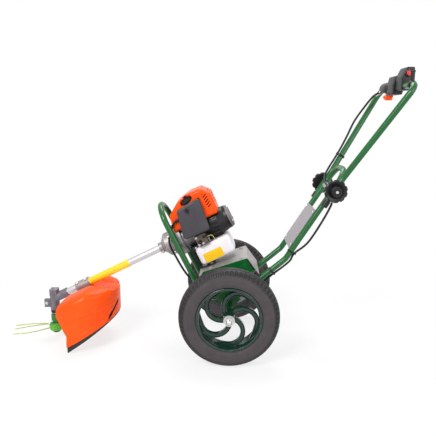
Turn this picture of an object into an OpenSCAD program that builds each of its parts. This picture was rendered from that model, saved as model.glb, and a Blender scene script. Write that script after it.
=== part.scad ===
// Wheeled string trimmer: a two-stroke engine and a straight trimmer shaft carried on a
// two-wheeled tube frame with a folding handle. Millimetres, +Z up, cutter towards -X,
// handle towards +X, the operator's left at -Y. The ground is the plane Z = 0.

/* [Wheels] */
// Outer diameter of the tyre
wheel_d = 360; // [330:1:390]
// Width of the tyre
tyre_w = 72; // [60:1:84]
// Diameter of the tyre's seat on the rim
bead_d = 228; // [200:1:240]
// Thickness of the tyre's wall
tyre_wall = 8; // [5:0.5:12]
// Distance between the two wheels' middle planes
track = 426; // [400:1:460]
// Number of swept spokes in a rim
spokes = 5; // [4:1:6]
// Width of one spoke
spoke_w = 17; // [12:0.5:22]
// Thickness of one spoke along the axle
spoke_t = 20; // [12:0.5:30]
// Thickness of the rim's barrel
barrel_t = 7; // [5:0.5:10]
// Width of the rim's barrel
barrel_w = 68; // [60:1:70]
// Diameter of the wheel hub
hub_d = 42; // [36:1:50]
// Length of the wheel hub
hub_l = 66; // [58:1:76]
// Diameter of the steel axle
axle_d = 18; // [14:0.5:22]

/* [Frame tubes] */
// Outer diameter of the frame and handle tube
tube_d = 22; // [19:0.5:26]
// Wall of the frame and handle tube
tube_wall = 1.6; // [1.2:0.1:2.5]
// Distance between the two legs of a hoop
leg_gap = 160; // [140:1:170]
// Outer diameter of the sleeve that carries the axle
sleeve_d = 28; // [25:0.5:32]
// Place of the front hoop along the shaft, behind the clutch housing's front face
front_hoop_u = 82; // [74:1:90]
// Height of the front hoop's crown above the shaft axis
front_hoop_top = 150; // [140:1:165]
// Distance behind the axle of the bend in the rear hoop
rear_bend_x = 210; // [195:1:225]
// Height of the bend in the rear hoop
rear_bend_z = 358; // [345:1:375]
// Slope of the rear hoop's lower legs
lower_leg_angle = 40.3; // [36:0.1:44]
// Slope of the rear hoop's upper legs and of the handle
handle_angle = 57.5; // [52:0.5:63]
// Distance from the rear bend to the handle's pivot
pivot_l = 307; // [290:1:325]
// Distance from the pivot to the rear hoop's crown
rear_crown_l = 82; // [72:1:95]

/* [Base] */
// Thickness of the two cheek plates
cheek_t = 4; // [3:0.5:6]
// Thickness of the bent saddle sheet
saddle_t = 2.5; // [1.5:0.5:4]
// Slope of the saddle's top
saddle_angle = 18.5; // [15:0.5:22]
// Distance behind the axle of the saddle's ridge
ridge_x = 68; // [58:1:78]
// Height of the saddle's ridge
ridge_z = 363; // [358:1:366]
// Thickness of the bare panel on the rear hoop
panel_t = 2; // [1:0.5:4]
// Length of the bare panel
panel_l = 172; // [150:1:190]

/* [Handle] */
// Distance from the pivot to the handle's crossbar
handle_l = 430; // [400:1:460]
// Distance between the handle's corners
handle_w = 390; // [360:1:420]
// Length of the handle below the pivot
handle_tail = 65; // [55:1:75]
// Diameter of a clamp knob
knob_d = 82; // [70:1:90]
// Height of a clamp knob
knob_h = 30; // [26:1:36]
// Diameter of the pivot bolts
bolt_d = 10; // [8:0.5:12]

/* [Throttle] */
// Diameter of the round throttle body
throttle_d = 50; // [44:1:56]
// Length of the round throttle body along the crossbar
throttle_l = 76; // [66:1:86]
// Length of the switch block along the crossbar
block_l = 140; // [120:1:148]
// Height of the switch block above the crossbar
block_h = 64; // [54:1:72]
// Depth of the orange trigger
trigger_h = 24; // [20:1:30]

/* [Shaft] */
// Slope of the trimmer shaft
shaft_angle = 26; // [24:0.5:28]
// Distance in front of the axle of the clutch housing's front face
clutch_x = 269; // [262:1:276]
// Height of the shaft axis at that face
clutch_z = 375; // [372:1:378]
// Outer diameter of the shaft tube
shaft_d = 28; // [26:0.5:30]
// Wall of the shaft tube
shaft_wall = 1.5; // [1:0.1:2.5]
// Diameter of the drive shaft inside the tube
drive_d = 8; // [7:0.5:10]
// Distance along the shaft from the clutch housing to the cutter's axis
head_l = 475; // [460:1:490]

/* [Engine] */
// Radius of the fan housing
fan_r = 62; // [58:1:66]
// Radius of the crankcase
crankcase_r = 44; // [40:1:48]
// Bore of the cylinder
cylinder_bore = 40; // [36:1:44]
// Outer diameter of the cooling fins
fin_d = 78; // [72:1:84]
// Number of cooling fins
fins = 7; // [5:1:9]
// Half width of the orange engine cover
cover_half = 60; // [58:1:64]
// Wall of the orange engine cover
cover_wall = 3; // [2:0.5:4]
// Thickness of the air filter housing
filter_t = 34; // [28:1:40]
// Radius of the recoil starter
starter_r = 53; // [50:1:56]
// Length of the recoil starter
starter_l = 98; // [90:1:106]
// Radius of the grey cover on the recoil starter
starter_cover_r = 43; // [38:1:46]
// Height of the fuel tank
tank_h = 72; // [66:1:78]
// Length of the fuel tank
tank_l = 142; // [130:1:150]
// Width of the fuel tank
tank_w = 112; // [100:1:120]
// Wall of the fuel tank
tank_wall = 2.5; // [2:0.5:4]

/* [Cutter] */
// Radius of the gear case around the cutter's axis
case_r = 18; // [17:0.5:20]
// Height of the gear case's top above the shaft axis
case_top = 38; // [35:1:42]
// Radius of the line head's lower bell
bell_r = 27; // [24:1:30]
// Height above the ground of the point where the shaft's and the cutter's axes meet
cutter_h = 166.8; // [160:0.1:174]
// Height of the line head's underside above the ground
head_z = 34; // [28:1:40]
// Reach of the trimmer lines from the cutter's axis
line_reach = 162; // [140:1:163]
// Diameter of the trimmer line
line_d = 3; // [2:0.1:4]

/* [Guard] */
// Outer radius of the guard, seen from above
guard_r = 148; // [147:1:156]
// Distance behind the cutter's axis of the guard's centre
guard_back = 113; // [108:1:118]
// Wall of the guard
guard_wall = 3; // [2:0.5:4]
// Height above the ground of the guard's level top, between its lobes
guard_top_h = 226; // [216:1:236]
// Slope of the guard's lower edge
guard_tilt = 34; // [28:1:38]
// Height of the black skirt below the guard, at the front
skirt_h = 24; // [16:1:28]
// Wall of the black skirt
skirt_wall = 2.5; // [2:0.5:4]

/* [Cable] */
// Diameter of the throttle cable's sleeve
cable_d = 8; // [6:0.5:10]

/* [Hidden] */
$fn = 64;
// Fit of pieces that are fixed to each other, running fit of shafts, and free gap of moving pieces
fit = 0.1;
run = 0.06;
clear = 0.4;
// Overrun of every cut
over = 1;
hull_fn = 16;

// Wheel values
wheel_r = wheel_d / 2;
bead_r = bead_d / 2;
axle_z = wheel_r;
tyre_power_share = 0.8;
tyre_steps = 9;
bead_angle = 145;
lip_h = 3;
lip_t = 4;
rib_h = 4;
rib_w = 4;
spoke_set = 3;
barrel_r = bead_r - fit;
spoke_ring_r = (barrel_r - barrel_t / 2) / 2 - spoke_w / 4;
washer_t = 3;
nut_af = 28;
nut_h = 12;
nut_dome_r = 11;

// Frame values
tube_r = tube_d / 2;
leg_y = leg_gap / 2;
rail_z = axle_z + sleeve_d / 2 + tube_r + fit;
rail_joint_x = -30;
rail_bend_r = 50;
leg_bend_r = 60;
crown_flat = 4;
crown_bend_r = leg_y - crown_flat / 2;
rear_crown_bend_r = 60;
pivot_gap = 3;
handle_y = leg_y + tube_d + pivot_gap;
sleeve_end = track / 2 - hub_l / 2 - clear;
handle_dir = [cos(handle_angle), 0, sin(handle_angle)];
handle_normal = [-sin(handle_angle), 0, cos(handle_angle)];
rear_bend = [rear_bend_x, 0, rear_bend_z];
pivot = rear_bend + pivot_l * handle_dir;
lower_leg_foot_x = rear_bend_x - (rear_bend_z - rail_z) / tan(lower_leg_angle);
crossbar = pivot + handle_l * handle_dir;

// Shaft frame: u along the shaft, rising to the rear, y to the side, w across and upwards
shaft_c = cos(shaft_angle);
shaft_s = sin(shaft_angle);
head_x = -clutch_x - head_l * shaft_c;
apex_z = clutch_z - head_l * shaft_s;
cutter_z = apex_z - cutter_h;
guard_x = -head_x - guard_back;
shaft_r = shaft_d / 2;
drive_r = drive_d / 2;

// Front and rear limits of the whole part, and the shift that centres it
front_limit = head_x - line_reach;
block_back = 30;
rear_limit = crossbar.x + block_back;
middle_x = (front_limit + rear_limit) / 2;

// Shared shapes

function unit(v) = v / norm(v);
function shaft_point(u, y, w) =
    [-clutch_x + u * shaft_c - w * shaft_s, y, clutch_z + u * shaft_s + w * shaft_c];
function shaft_height(x) = clutch_z + (x + clutch_x) * tan(shaft_angle);
function mirror_y(p) = [p.x, -p.y, p.z];
function turn(a) = [cos(a), sin(a)];
function both_sides(points) = concat(points, [for (i = [len(points) - 1:-1:0]) mirror_y(points[i])]);

// The whole part is shifted so that its middle stands over the origin
module placed() {
    translate([-middle_x, 0, 0]) children();
}

// The shaft's own frame: X along the shaft, Y to the side, Z across it
module on_shaft(u = 0, y = 0, w = 0) {
    translate([-clutch_x, 0, clutch_z])
        rotate([0, -shaft_angle, 0])
            translate([u, y, w]) children();
}

// Places children with their Z axis along v, at point p
module aim(p, v) {
    d = unit(v);
    translate(p)
        rotate([0, acos(d.z), atan2(d.y, d.x)]) children();
}

// A solid of revolution about the shaft axis, from a list of [u, radius]
module shaft_turned(outline) {
    rotate([0, 90, 0])
        rotate_extrude() polygon([for (p = outline) [p[1], p[0]]]);
}

// A straight rod along the shaft axis
module shaft_rod(u0, u1, r) {
    translate([u0, 0, 0])
        rotate([0, 90, 0]) cylinder(h = u1 - u0, r = r);
}

// A rod along Y
module side_rod(y0, y1, r) {
    translate([0, y0, 0])
        rotate([-90, 0, 0]) cylinder(h = y1 - y0, r = r);
}

// A plate: an outline in X and Z, from y0 to y1
module side_plate(outline, y0, y1) {
    translate([0, y1, 0])
        rotate([90, 0, 0]) linear_extrude(height = y1 - y0) polygon(outline);
}

// A box whose rounded corners stand on the points of an outline in X and Z
module rounded_case(outline, y0, y1, r) {
    hull() {
        for (p = outline, y = [y0, y1]) {
            translate([p[0], y, p[1]]) sphere(r = r, $fn = hull_fn);
        }
    }
}

// Outline of a rectangle with rounded corners, from its low to its high corner
corner_steps = 5;
function round_rect(low, high, r) = [
    for (
        c = [
            [high.x - r, high.y - r],
            [low.x + r, high.y - r],
            [low.x + r, low.y + r],
            [high.x - r, low.y + r]
        ]
    )
        let (start = c.x > low.x + r ? (c.y > low.y + r ? 0 : 270) : (c.y > low.y + r ? 90 : 180))
            for (i = [0:corner_steps]) c + r * turn(start + 90 * i / corner_steps)
];

module pipe_section(d, wall) {
    difference() {
        circle(d = d);
        circle(d = d - 2 * wall);
    }
}

module pipe_run(p, q, d, wall) {
    aim(p, q - p) linear_extrude(height = norm(q - p)) pipe_section(d, wall);
}

// Length that a bend of radius r takes from each side of the corner q
function bend_angle(p, q, s) = acos(unit(q - p) * unit(s - q));
function bend_cut(p, q, s, r) = r * tan(bend_angle(p, q, s) / 2);

// A bend's wall is a little thicker than the tube's, and takes the ends of the straight runs inside it
bend_swell = 0.1;
function bend_lap(r) = sqrt(r * bend_swell);

module pipe_bend(p, q, s, r, d, wall) {
    a = unit(q - p);
    n = unit(cross(a, unit(s - q)));
    m = cross(n, a);
    c = q - a * bend_cut(p, q, s, r) + m * r;
    multmatrix([
        [-m.x, a.x, n.x, c.x],
        [-m.y, a.y, n.y, c.y],
        [-m.z, a.z, n.z, c.z],
        [0, 0, 0, 1]
    ])
        rotate_extrude(angle = bend_angle(p, q, s))
            translate([r, 0]) pipe_section(d + 2 * bend_swell, wall + 2 * bend_swell);
}

// A tube bent at each inner point of a path, each bend with its own radius
module bent_pipe(path, radii, d, wall) {
    last = len(path) - 1;
    cuts = [
        for (i = [0:last])
            (i == 0 || i == last)
                ? 0
                : bend_cut(path[i - 1], path[i], path[i + 1], radii[i - 1]) - bend_lap(radii[i - 1])
    ];
    for (i = [0:last - 1]) {
        step = unit(path[i + 1] - path[i]);
        pipe_run(path[i] + step * cuts[i], path[i + 1] - step * cuts[i + 1], d, wall);
    }
    for (i = [1:last - 1]) {
        pipe_bend(path[i - 1], path[i], path[i + 1], radii[i - 1], d, wall);
    }
}

// A round cord swept along hand-set points, smoothed by a spline through them
cord_sides = 10;
cord_steps = 3;
function spline(a, b, c, d, t) =
    (2 * b + (c - a) * t + (2 * a - 5 * b + 4 * c - d) * t * t + (3 * b - a - 3 * c + d) * t * t * t) / 2;
function smooth_route(p) = concat(
    [
        for (i = [0:len(p) - 2], j = [0:cord_steps - 1])
            spline(p[max(i - 1, 0)], p[i], p[i + 1], p[min(i + 2, len(p) - 1)], j / cord_steps)
    ],
    [p[len(p) - 1]]
);
function route_dir(p, i) = unit(p[min(i + 1, len(p) - 1)] - p[max(i - 1, 0)]);
// A direction square to the route's start; each ring then carries it on without twist
function first_side(p) = let (d = route_dir(p, 0))
    unit(cross(d, abs(d.y) < cos(45) ? [0, 1, 0] : [1, 0, 0]));
function square_to(s, d) = unit(s - d * (s * d));

module swept_cord(route, d) {
    p = smooth_route(route);
    sides = [
        for (
            i = 0, s = first_side(p);
            i < len(p);
            i = i + 1, s = square_to(s, route_dir(p, min(i, len(p) - 1)))
        )
            s
    ];
    rings = [
        for (i = [0:len(p) - 1], k = [0:cord_sides - 1])
            let (f = route_dir(p, i), e = sides[i], g = cross(f, e), a = 360 * k / cord_sides)
                p[i] + d / 2 * (cos(a) * e + sin(a) * g)
    ];
    last = (len(p) - 1) * cord_sides;
    walls = [
        for (i = [0:len(p) - 2], k = [0:cord_sides - 1])
            let (a = i * cord_sides + k, b = i * cord_sides + (k + 1) % cord_sides)
                for (f = [[a, a + cord_sides, b + cord_sides], [a, b + cord_sides, b]]) f
    ];
    ends = [
        for (k = [1:cord_sides - 2])
            for (f = [[0, k, k + 1], [last, last + k + 1, last + k]]) f
    ];
    polyhedron(rings, concat(walls, ends));
}

// Wheels

tyre_half_h = (wheel_r - bead_r) / (1 + pow(-cos(bead_angle), tyre_power_share));
tyre_mid_r = wheel_r - tyre_half_h;
function signed_power(v) = sign(v) * pow(abs(v), tyre_power_share);
function tyre_arc(half_w, half_h, from, to) = [
    for (i = [-tyre_steps:tyre_steps])
        let (a = (from + to) / 2 + (to - from) / 2 * i / tyre_steps)
            [tyre_mid_r + half_h * signed_power(cos(a)), half_w * signed_power(sin(a))]
];

// A wheel's own frame: Z points outwards along the axle
module wheel_frame(side) {
    translate([0, side * track / 2, axle_z])
        rotate([90, 0, side < 0 ? 0 : 180]) children();
}

module tyre(side) {
    color([0.16, 0.15, 0.16])
        wheel_frame(side)
            rotate_extrude()
                polygon(concat(
                    tyre_arc(tyre_w / 2, tyre_half_h, -bead_angle, bead_angle),
                    tyre_arc(tyre_w / 2 - tyre_wall, tyre_half_h - tyre_wall, bead_angle, -bead_angle)
                ));
}

// Cross-section of a spoke: a flat web with a raised edge on each side
spoke_section = [
    [-spoke_w / 2, -spoke_t / 2],
    [spoke_w / 2, -spoke_t / 2],
    [spoke_w / 2, spoke_t / 2],
    [spoke_w / 2 - rib_w, spoke_t / 2],
    [spoke_w / 2 - rib_w, spoke_t / 2 - rib_h],
    [rib_w - spoke_w / 2, spoke_t / 2 - rib_h],
    [rib_w - spoke_w / 2, spoke_t / 2],
    [-spoke_w / 2, spoke_t / 2]
];
rim_section = [
    [barrel_r - barrel_t, -barrel_w / 2],
    [bead_r + lip_h, -barrel_w / 2],
    [bead_r + lip_h, lip_t - barrel_w / 2],
    [barrel_r, lip_t - barrel_w / 2],
    [barrel_r, barrel_w / 2 - lip_t],
    [bead_r + lip_h, barrel_w / 2 - lip_t],
    [bead_r + lip_h, barrel_w / 2],
    [barrel_r - barrel_t, barrel_w / 2]
];

// A spoke sweeps half a circle from the hub to the barrel
module spoke() {
    translate([spoke_ring_r, 0, spoke_set])
        rotate_extrude(angle = 180)
            translate([spoke_ring_r, 0]) polygon(spoke_section);
}

spoke_phase = 52;
module rim(side) {
    color([0.16, 0.28, 0.24])
        wheel_frame(side)
            difference() {
                union() {
                    rotate_extrude() polygon(rim_section);
                    for (i = [0:spokes - 1]) {
                        rotate([0, 0, spoke_phase + 360 / spokes * i]) spoke();
                    }
                    cylinder(h = hub_l, d = hub_d, center = true);
                }
                cylinder(h = hub_l + 2 * over, d = axle_d + 2 * run, center = true);
            }
}

module left_tyre() placed() tyre(-1);
module right_tyre() placed() tyre(1);
module left_rim() placed() rim(-1);
module right_rim() placed() rim(1);

washer_r = hub_d / 2 - over;
nut_start = track / 2 + hub_l / 2 + clear;
axle_half = nut_start + washer_t + nut_h;

module axle() {
    placed()
        color("silver")
            translate([0, 0, axle_z]) side_rod(-axle_half, axle_half, axle_d / 2);
}

// A domed nut on a washer, its mouth towards the wheel
module axle_nut() {
    difference() {
        union() {
            cylinder(h = washer_t, r = washer_r);
            translate([0, 0, washer_t]) cylinder(h = nut_h, r = nut_af / 2 / cos(30), $fn = 6);
            translate([0, 0, washer_t + nut_h])
                rotate_extrude()
                    intersection() {
                        circle(r = nut_dome_r);
                        square(nut_dome_r);
                    }
        }
        translate([0, 0, -over]) cylinder(h = washer_t + nut_h + over + fit, d = axle_d + 2 * fit);
    }
}

module axle_nuts() {
    placed()
        color("lightgray")
            for (side = [-1, 1]) {
                wheel_frame(side) translate([0, 0, nut_start - track / 2]) axle_nut();
            }
}

// Frame

front_leg_foot_w = (rail_z - clutch_z - front_hoop_u * shaft_s) / shaft_c;
front_foot = shaft_point(front_hoop_u, -leg_y, front_leg_foot_w);
front_crown = shaft_point(front_hoop_u, -leg_y, front_hoop_top);
rail_joint = [rail_joint_x, -leg_y, rail_z];
lower_foot = [lower_leg_foot_x, -leg_y, rail_z];
leg_side = [0, -leg_y, 0];

module front_hoop() {
    path = both_sides([rail_joint, front_foot, front_crown]);
    placed()
        color([0.16, 0.48, 0.25])
            bent_pipe(path, [rail_bend_r, crown_bend_r, crown_bend_r, rail_bend_r], tube_d, tube_wall);
}

module rear_hoop() {
    crown = pivot + rear_crown_l * handle_dir;
    path = both_sides([rail_joint + [fit, 0, 0], lower_foot, rear_bend + leg_side, crown + leg_side]);
    radii = [leg_bend_r, leg_bend_r, rear_crown_bend_r, rear_crown_bend_r, leg_bend_r, leg_bend_r];
    placed()
        color([0.16, 0.48, 0.25])
            difference() {
                bent_pipe(path, radii, tube_d, tube_wall);
                for (side = [-1, 1]) {
                    translate(pivot + side * leg_side) side_rod(-tube_d, tube_d, bolt_d / 2 + fit);
                }
            }
}

// Base

function saddle_top(x) = ridge_z - (ridge_x - x) * tan(saddle_angle);
cheek_y = leg_y + tube_r + fit;
cheek_front_x = -98;
cheek_low_x = -118;
cheek_low_rise = 57;
cheek_low_z = rail_z + cheek_low_rise;
cheek_rear_run = 22;
cheek_rear_fall = 50;
cheek_boss_wall = 14;
cheek_boss_r = sleeve_d / 2 + cheek_boss_wall;
cheek_inset = 5;
cheek_outline = [
    [ridge_x - cheek_inset, saddle_top(ridge_x - cheek_inset)],
    [cheek_front_x, saddle_top(cheek_front_x)],
    [cheek_low_x, cheek_low_z],
    [-cheek_boss_r, axle_z],
    [cheek_boss_r, axle_z],
    [ridge_x + cheek_rear_run, ridge_z - cheek_rear_fall]
];

// The axle sleeve with its two cheek plates welded on
module axle_carrier() {
    placed()
        color([0.10, 0.42, 0.18])
            difference() {
                union() {
                    translate([0, 0, axle_z]) side_rod(-sleeve_end, sleeve_end, sleeve_d / 2);
                    for (y = [-cheek_y - cheek_t, cheek_y]) {
                        side_plate(cheek_outline, y, y + cheek_t);
                        translate([0, y, axle_z]) side_rod(0, cheek_t, cheek_boss_r);
                    }
                }
                translate([0, 0, axle_z]) side_rod(-sleeve_end - over, sleeve_end + over, axle_d / 2 + fit);
            }
}

// Outline of a bent sheet: a path of [x, z], and the same path one thickness below it
function sheet_normal(p, i) =
    let (
        a = unit(p[min(i + 1, len(p) - 1)] - p[min(i, len(p) - 2)]),
        b = unit(p[max(i, 1)] - p[max(i - 1, 0)])
    )
        let (m = unit([-a.y, a.x] + [-b.y, b.x])) m / (m * [-a.y, a.x]);
function sheet_outline(p, t) = concat(p, [for (i = [len(p) - 1:-1:0]) p[i] - t * sheet_normal(p, i)]);

saddle_rear_l = 76;
saddle_front_l = 26;
saddle_rear_angle = 54;
saddle_front_angle = 52;
saddle_front_x = cheek_front_x + over;
saddle_ridge = [ridge_x, ridge_z];
saddle_front = [saddle_front_x, saddle_top(saddle_front_x)];
saddle_path = [
    saddle_front - saddle_front_l * [cos(saddle_front_angle), sin(saddle_front_angle)],
    saddle_front,
    saddle_ridge,
    saddle_ridge + saddle_rear_l * [cos(saddle_rear_angle), -sin(saddle_rear_angle)]
];

module saddle_plate() {
    placed()
        color([0.62, 0.61, 0.60])
            side_plate(sheet_outline(saddle_path, saddle_t), fit - cheek_y, cheek_y - fit);
}

panel_low = 40;
// A flat panel laid on the front of the rear hoop's legs
module name_panel() {
    placed()
        color([0.73, 0.70, 0.71])
            translate(rear_bend + panel_low * handle_dir + (tube_r + fit) * handle_normal)
                rotate([0, -handle_angle, 0])
                    translate([0, -leg_y, 0]) cube([panel_l, leg_gap, panel_t]);
}

// Engine bracket and fuel tank

bracket_t = 5;
bracket_half = 42;
bracket_u = 117;
bracket_top_l = 34;
bracket_low_l = 56;
bracket_rise = bracket_t / cos(saddle_angle) + fit;
bracket_foot_w = (saddle_top(shaft_point(bracket_u, 0, 0).x) + bracket_rise - shaft_point(bracket_u, 0, 0).z)
    / (shaft_c + shaft_s * tan(saddle_angle));
bracket_top_w = -crankcase_r - fit - bracket_t;
function flat(p) = [p.x, p.z];
bracket_foot = flat(shaft_point(bracket_u, 0, bracket_foot_w));
bracket_path = [
    bracket_foot + bracket_low_l * [cos(saddle_angle), sin(saddle_angle)],
    bracket_foot,
    flat(shaft_point(bracket_u, 0, bracket_top_w)),
    flat(shaft_point(bracket_u + bracket_top_l, 0, bracket_top_w))
];

// A stepped bracket from the saddle up to the underside of the crankcase
module engine_bracket() {
    placed()
        color([0.10, 0.10, 0.10])
            side_plate(sheet_outline(bracket_path, -bracket_t), -bracket_half, bracket_half);
}

tank_gap = 5;
tank_u = bracket_u + bracket_t + tank_gap;
tank_top_w = -starter_r - clear;
tank_pad_u = 8;
tank_pad_l = 16;
tank_pad_half = 20;
tank_corner = 14;
tank_low = [tank_u, tank_top_w - tank_h];
tank_high = [tank_u + tank_l, tank_top_w];
tank_pad_h = bracket_top_w - fit - tank_top_w + tank_wall / 2;
cap_r = 17;
cap_h = 14;
filler_r = 12;
filler_h = 10;
cap_notches = 12;
cap_notch_r = 2;
cap_u = tank_u + tank_l / 3;
cap_w = tank_top_w - tank_h / 2;

module fuel_tank() {
    placed()
        color([0.93, 0.91, 0.93])
            on_shaft()
                difference() {
                    union() {
                        side_plate(round_rect(tank_low, tank_high, tank_corner), -tank_w / 2, tank_w / 2);
                        translate([cap_u, 0, cap_w]) side_rod(0, tank_w / 2 + filler_h, filler_r);
                        translate([tank_u + tank_pad_u, -tank_pad_half, tank_top_w - tank_wall / 2])
                            cube([tank_pad_l, 2 * tank_pad_half, tank_pad_h]);
                    }
                    side_plate(
                        round_rect(
                            tank_low + [tank_wall, tank_wall],
                            tank_high - [tank_wall, tank_wall],
                            tank_corner - tank_wall
                        ),
                        tank_wall - tank_w / 2,
                        tank_w / 2 - tank_wall
                    );
                    translate([cap_u, 0, cap_w])
                        side_rod(0, tank_w / 2 + filler_h + over, filler_r - tank_wall);
                }
}

module fuel_cap() {
    placed()
        color([0.08, 0.08, 0.08])
            on_shaft(cap_u, tank_w / 2 + clear, cap_w)
                difference() {
                    side_rod(0, cap_h, cap_r);
                    side_rod(-over, filler_h, filler_r + clear);
                    for (i = [1:cap_notches]) {
                        rotate([0, 360 / cap_notches * i, 0])
                            translate([cap_r, 0, 0]) side_rod(-over, cap_h + over, cap_notch_r);
                    }
                }
}

// Engine, in the shaft's frame

clutch_l = 62;
clutch_r = 46;
clutch_wall = 4;
neck_wall = 6;
neck_l = 14;
cone_l = 20;
flange_r = 54;
flange_t = 4;
socket_l = 12;
hub_bore_r = 11;
cavity_u = 29;
cavity_r = clutch_r - clutch_wall;
cavity_start_r = 28;

module clutch_housing() {
    placed()
        color([0.55, 0.55, 0.56])
            on_shaft()
                shaft_turned([
                    [0, shaft_r + fit],
                    [0, shaft_r + neck_wall],
                    [neck_l, shaft_r + neck_wall],
                    [neck_l + cone_l, clutch_r],
                    [clutch_l - flange_t, clutch_r],
                    [clutch_l - flange_t, flange_r],
                    [clutch_l, flange_r],
                    [clutch_l, cavity_r],
                    [neck_l + cone_l, cavity_r],
                    [cavity_u, cavity_start_r],
                    [cavity_u, hub_bore_r],
                    [socket_l, hub_bore_r],
                    [socket_l, shaft_r + fit]
                ]);
}

crankcase_u = 104;
crankcase_l = 92;
fan_wall = 4;
fan_front_hole_r = 44;
fan_back_hole_r = 20;

module fan_housing() {
    front = clutch_l + fit;
    back = crankcase_u - fit;
    placed()
        color([0.13, 0.13, 0.14])
            on_shaft()
                shaft_turned([
                    [front, fan_front_hole_r],
                    [front, fan_r],
                    [back, fan_r],
                    [back, fan_back_hole_r],
                    [back - fan_wall, fan_back_hole_r],
                    [back - fan_wall, fan_r - fan_wall],
                    [front + fan_wall, fan_r - fan_wall],
                    [front + fan_wall, fan_front_hole_r]
                ]);
}

crank_r = 7.5;
web_r = 28;
web_t = 10;
crank_cavity_r = 31;
crank_cavity_l = 48;
cylinder_u = 146;
seat_w = 46;
seat_half = 34;
intake_u = 176;
intake_w = -27;
intake_r = 12;
intake_y = 48;
intake_root_y = 22;

module crankcase() {
    cavity_front = cylinder_u - crank_cavity_l / 2;
    cavity_back = cylinder_u + crank_cavity_l / 2;
    end = crankcase_u + crankcase_l;
    placed()
        color([0.60, 0.60, 0.61])
            on_shaft()
                difference() {
                    union() {
                        shaft_rod(crankcase_u, end, crankcase_r);
                        translate([cylinder_u - seat_half, -seat_half, 0])
                            cube([2 * seat_half, 2 * seat_half, seat_w]);
                        translate([intake_u, 0, intake_w]) side_rod(-intake_y, -intake_root_y, intake_r);
                    }
                    shaft_rod(crankcase_u - over, end + over, crank_r + run);
                    shaft_rod(cavity_front, cavity_back, crank_cavity_r);
                    translate([cylinder_u, 0, 0]) cylinder(h = seat_w + over, d = cylinder_bore + 2 * fit);
                }
}

crank_start = 43;
crank_end = 206;
crank_throw = 12;
crank_pin_r = 6;
crank_pin_l = 12;

module crankshaft() {
    front_web = cylinder_u - crank_pin_l / 2 - web_t;
    back_web = cylinder_u + crank_pin_l / 2;
    placed()
        color("silver")
            on_shaft() {
                shaft_rod(crank_start, front_web + web_t, crank_r);
                shaft_rod(back_web, crank_end, crank_r);
                shaft_rod(front_web, front_web + web_t, web_r);
                shaft_rod(back_web, back_web + web_t, web_r);
                translate([0, 0, crank_throw]) shaft_rod(front_web, back_web + web_t, crank_pin_r);
            }
}

flywheel_u = 70;
flywheel_t = 6;
flywheel_r = 52;
flywheel_hub_r = 16;
flywheel_hub_l = 24;
blades = 14;
blade_t = 3;
blade_h = 16;
blade_root_r = 26;

module flywheel() {
    placed()
        color([0.45, 0.45, 0.47])
            on_shaft()
                difference() {
                    union() {
                        shaft_rod(flywheel_u, flywheel_u + flywheel_t, flywheel_r);
                        shaft_rod(flywheel_u, flywheel_u + flywheel_hub_l, flywheel_hub_r);
                        for (i = [1:blades]) {
                            rotate([360 / blades * i, 0, 0])
                                translate([flywheel_u, -blade_t / 2, blade_root_r])
                                    cube([flywheel_t + blade_h, blade_t, flywheel_r - blade_root_r - over]);
                        }
                    }
                    shaft_rod(flywheel_u - over, flywheel_u + flywheel_hub_l + over, crank_r + fit);
                }
}

shoe_u = 46;
shoe_l = 12;
shoe_r = 33;
shoe_hub_r = 15;
shoe_gap = 8;

module clutch_shoes() {
    placed()
        color([0.35, 0.30, 0.27])
            on_shaft()
                difference() {
                    shaft_rod(shoe_u, shoe_u + shoe_l, shoe_r);
                    shaft_rod(shoe_u - over, shoe_u + shoe_l + over, crank_r + fit);
                    for (a = [0, 180]) {
                        rotate([a, 0, 0])
                            translate([shoe_u - over, shoe_hub_r, -shoe_gap / 2])
                                cube([shoe_l + 2 * over, shoe_r, shoe_gap]);
                    }
                }
}

cylinder_wall = 7;
cylinder_top_w = 100;
roof_t = 8;
fin_t = 2.5;
fin_first_w = 54;
port_w = 72;
port_r = 13;
port_y = 41;
port_bore_r = 8;

module cylinder_block() {
    fin_step = (cylinder_top_w - fin_t - fin_first_w) / (fins - 1);
    sleeve = cylinder_bore + 2 * cylinder_wall;
    placed()
        color([0.50, 0.50, 0.52])
            on_shaft(cylinder_u)
                difference() {
                    union() {
                        translate([0, 0, seat_w + fit])
                            cylinder(h = cylinder_top_w - seat_w - fit, d = sleeve);
                        for (i = [0:fins - 1]) {
                            translate([0, 0, fin_first_w + fin_step * i]) cylinder(h = fin_t, d = fin_d);
                        }
                        translate([0, 0, port_w]) side_rod(0, port_y, port_r);
                    }
                    cylinder(h = cylinder_top_w - roof_t, d = cylinder_bore);
                    translate([0, 0, port_w]) side_rod(0, port_y + over, port_bore_r);
                }
}

plug_hex_r = 9;
plug_hex_h = 8;
plug_r = 5;
plug_h = 22;

module spark_plug() {
    placed()
        color([0.92, 0.92, 0.90])
            on_shaft(cylinder_u, 0, cylinder_top_w + fit) {
                cylinder(h = plug_hex_h, r = plug_hex_r, $fn = 6);
                cylinder(h = plug_h, r = plug_r);
            }
}

cover_corner = 14;
cover_low_w = 36;
cover_outline = [
    [103, 52],
    [113, 95],
    [155, 124],
    [205, 135],
    [243, 133],
    [263, 110],
    [261, 50],
    [261, 20],
    [103, 20]
];
cover_core = cover_half - cover_corner;
vent_front_u = 164;
vent_back_u = 196;
vent_w = 130;
vent_r = 8;
vent_depth = 34;
cover_span_u = 400;

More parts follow.
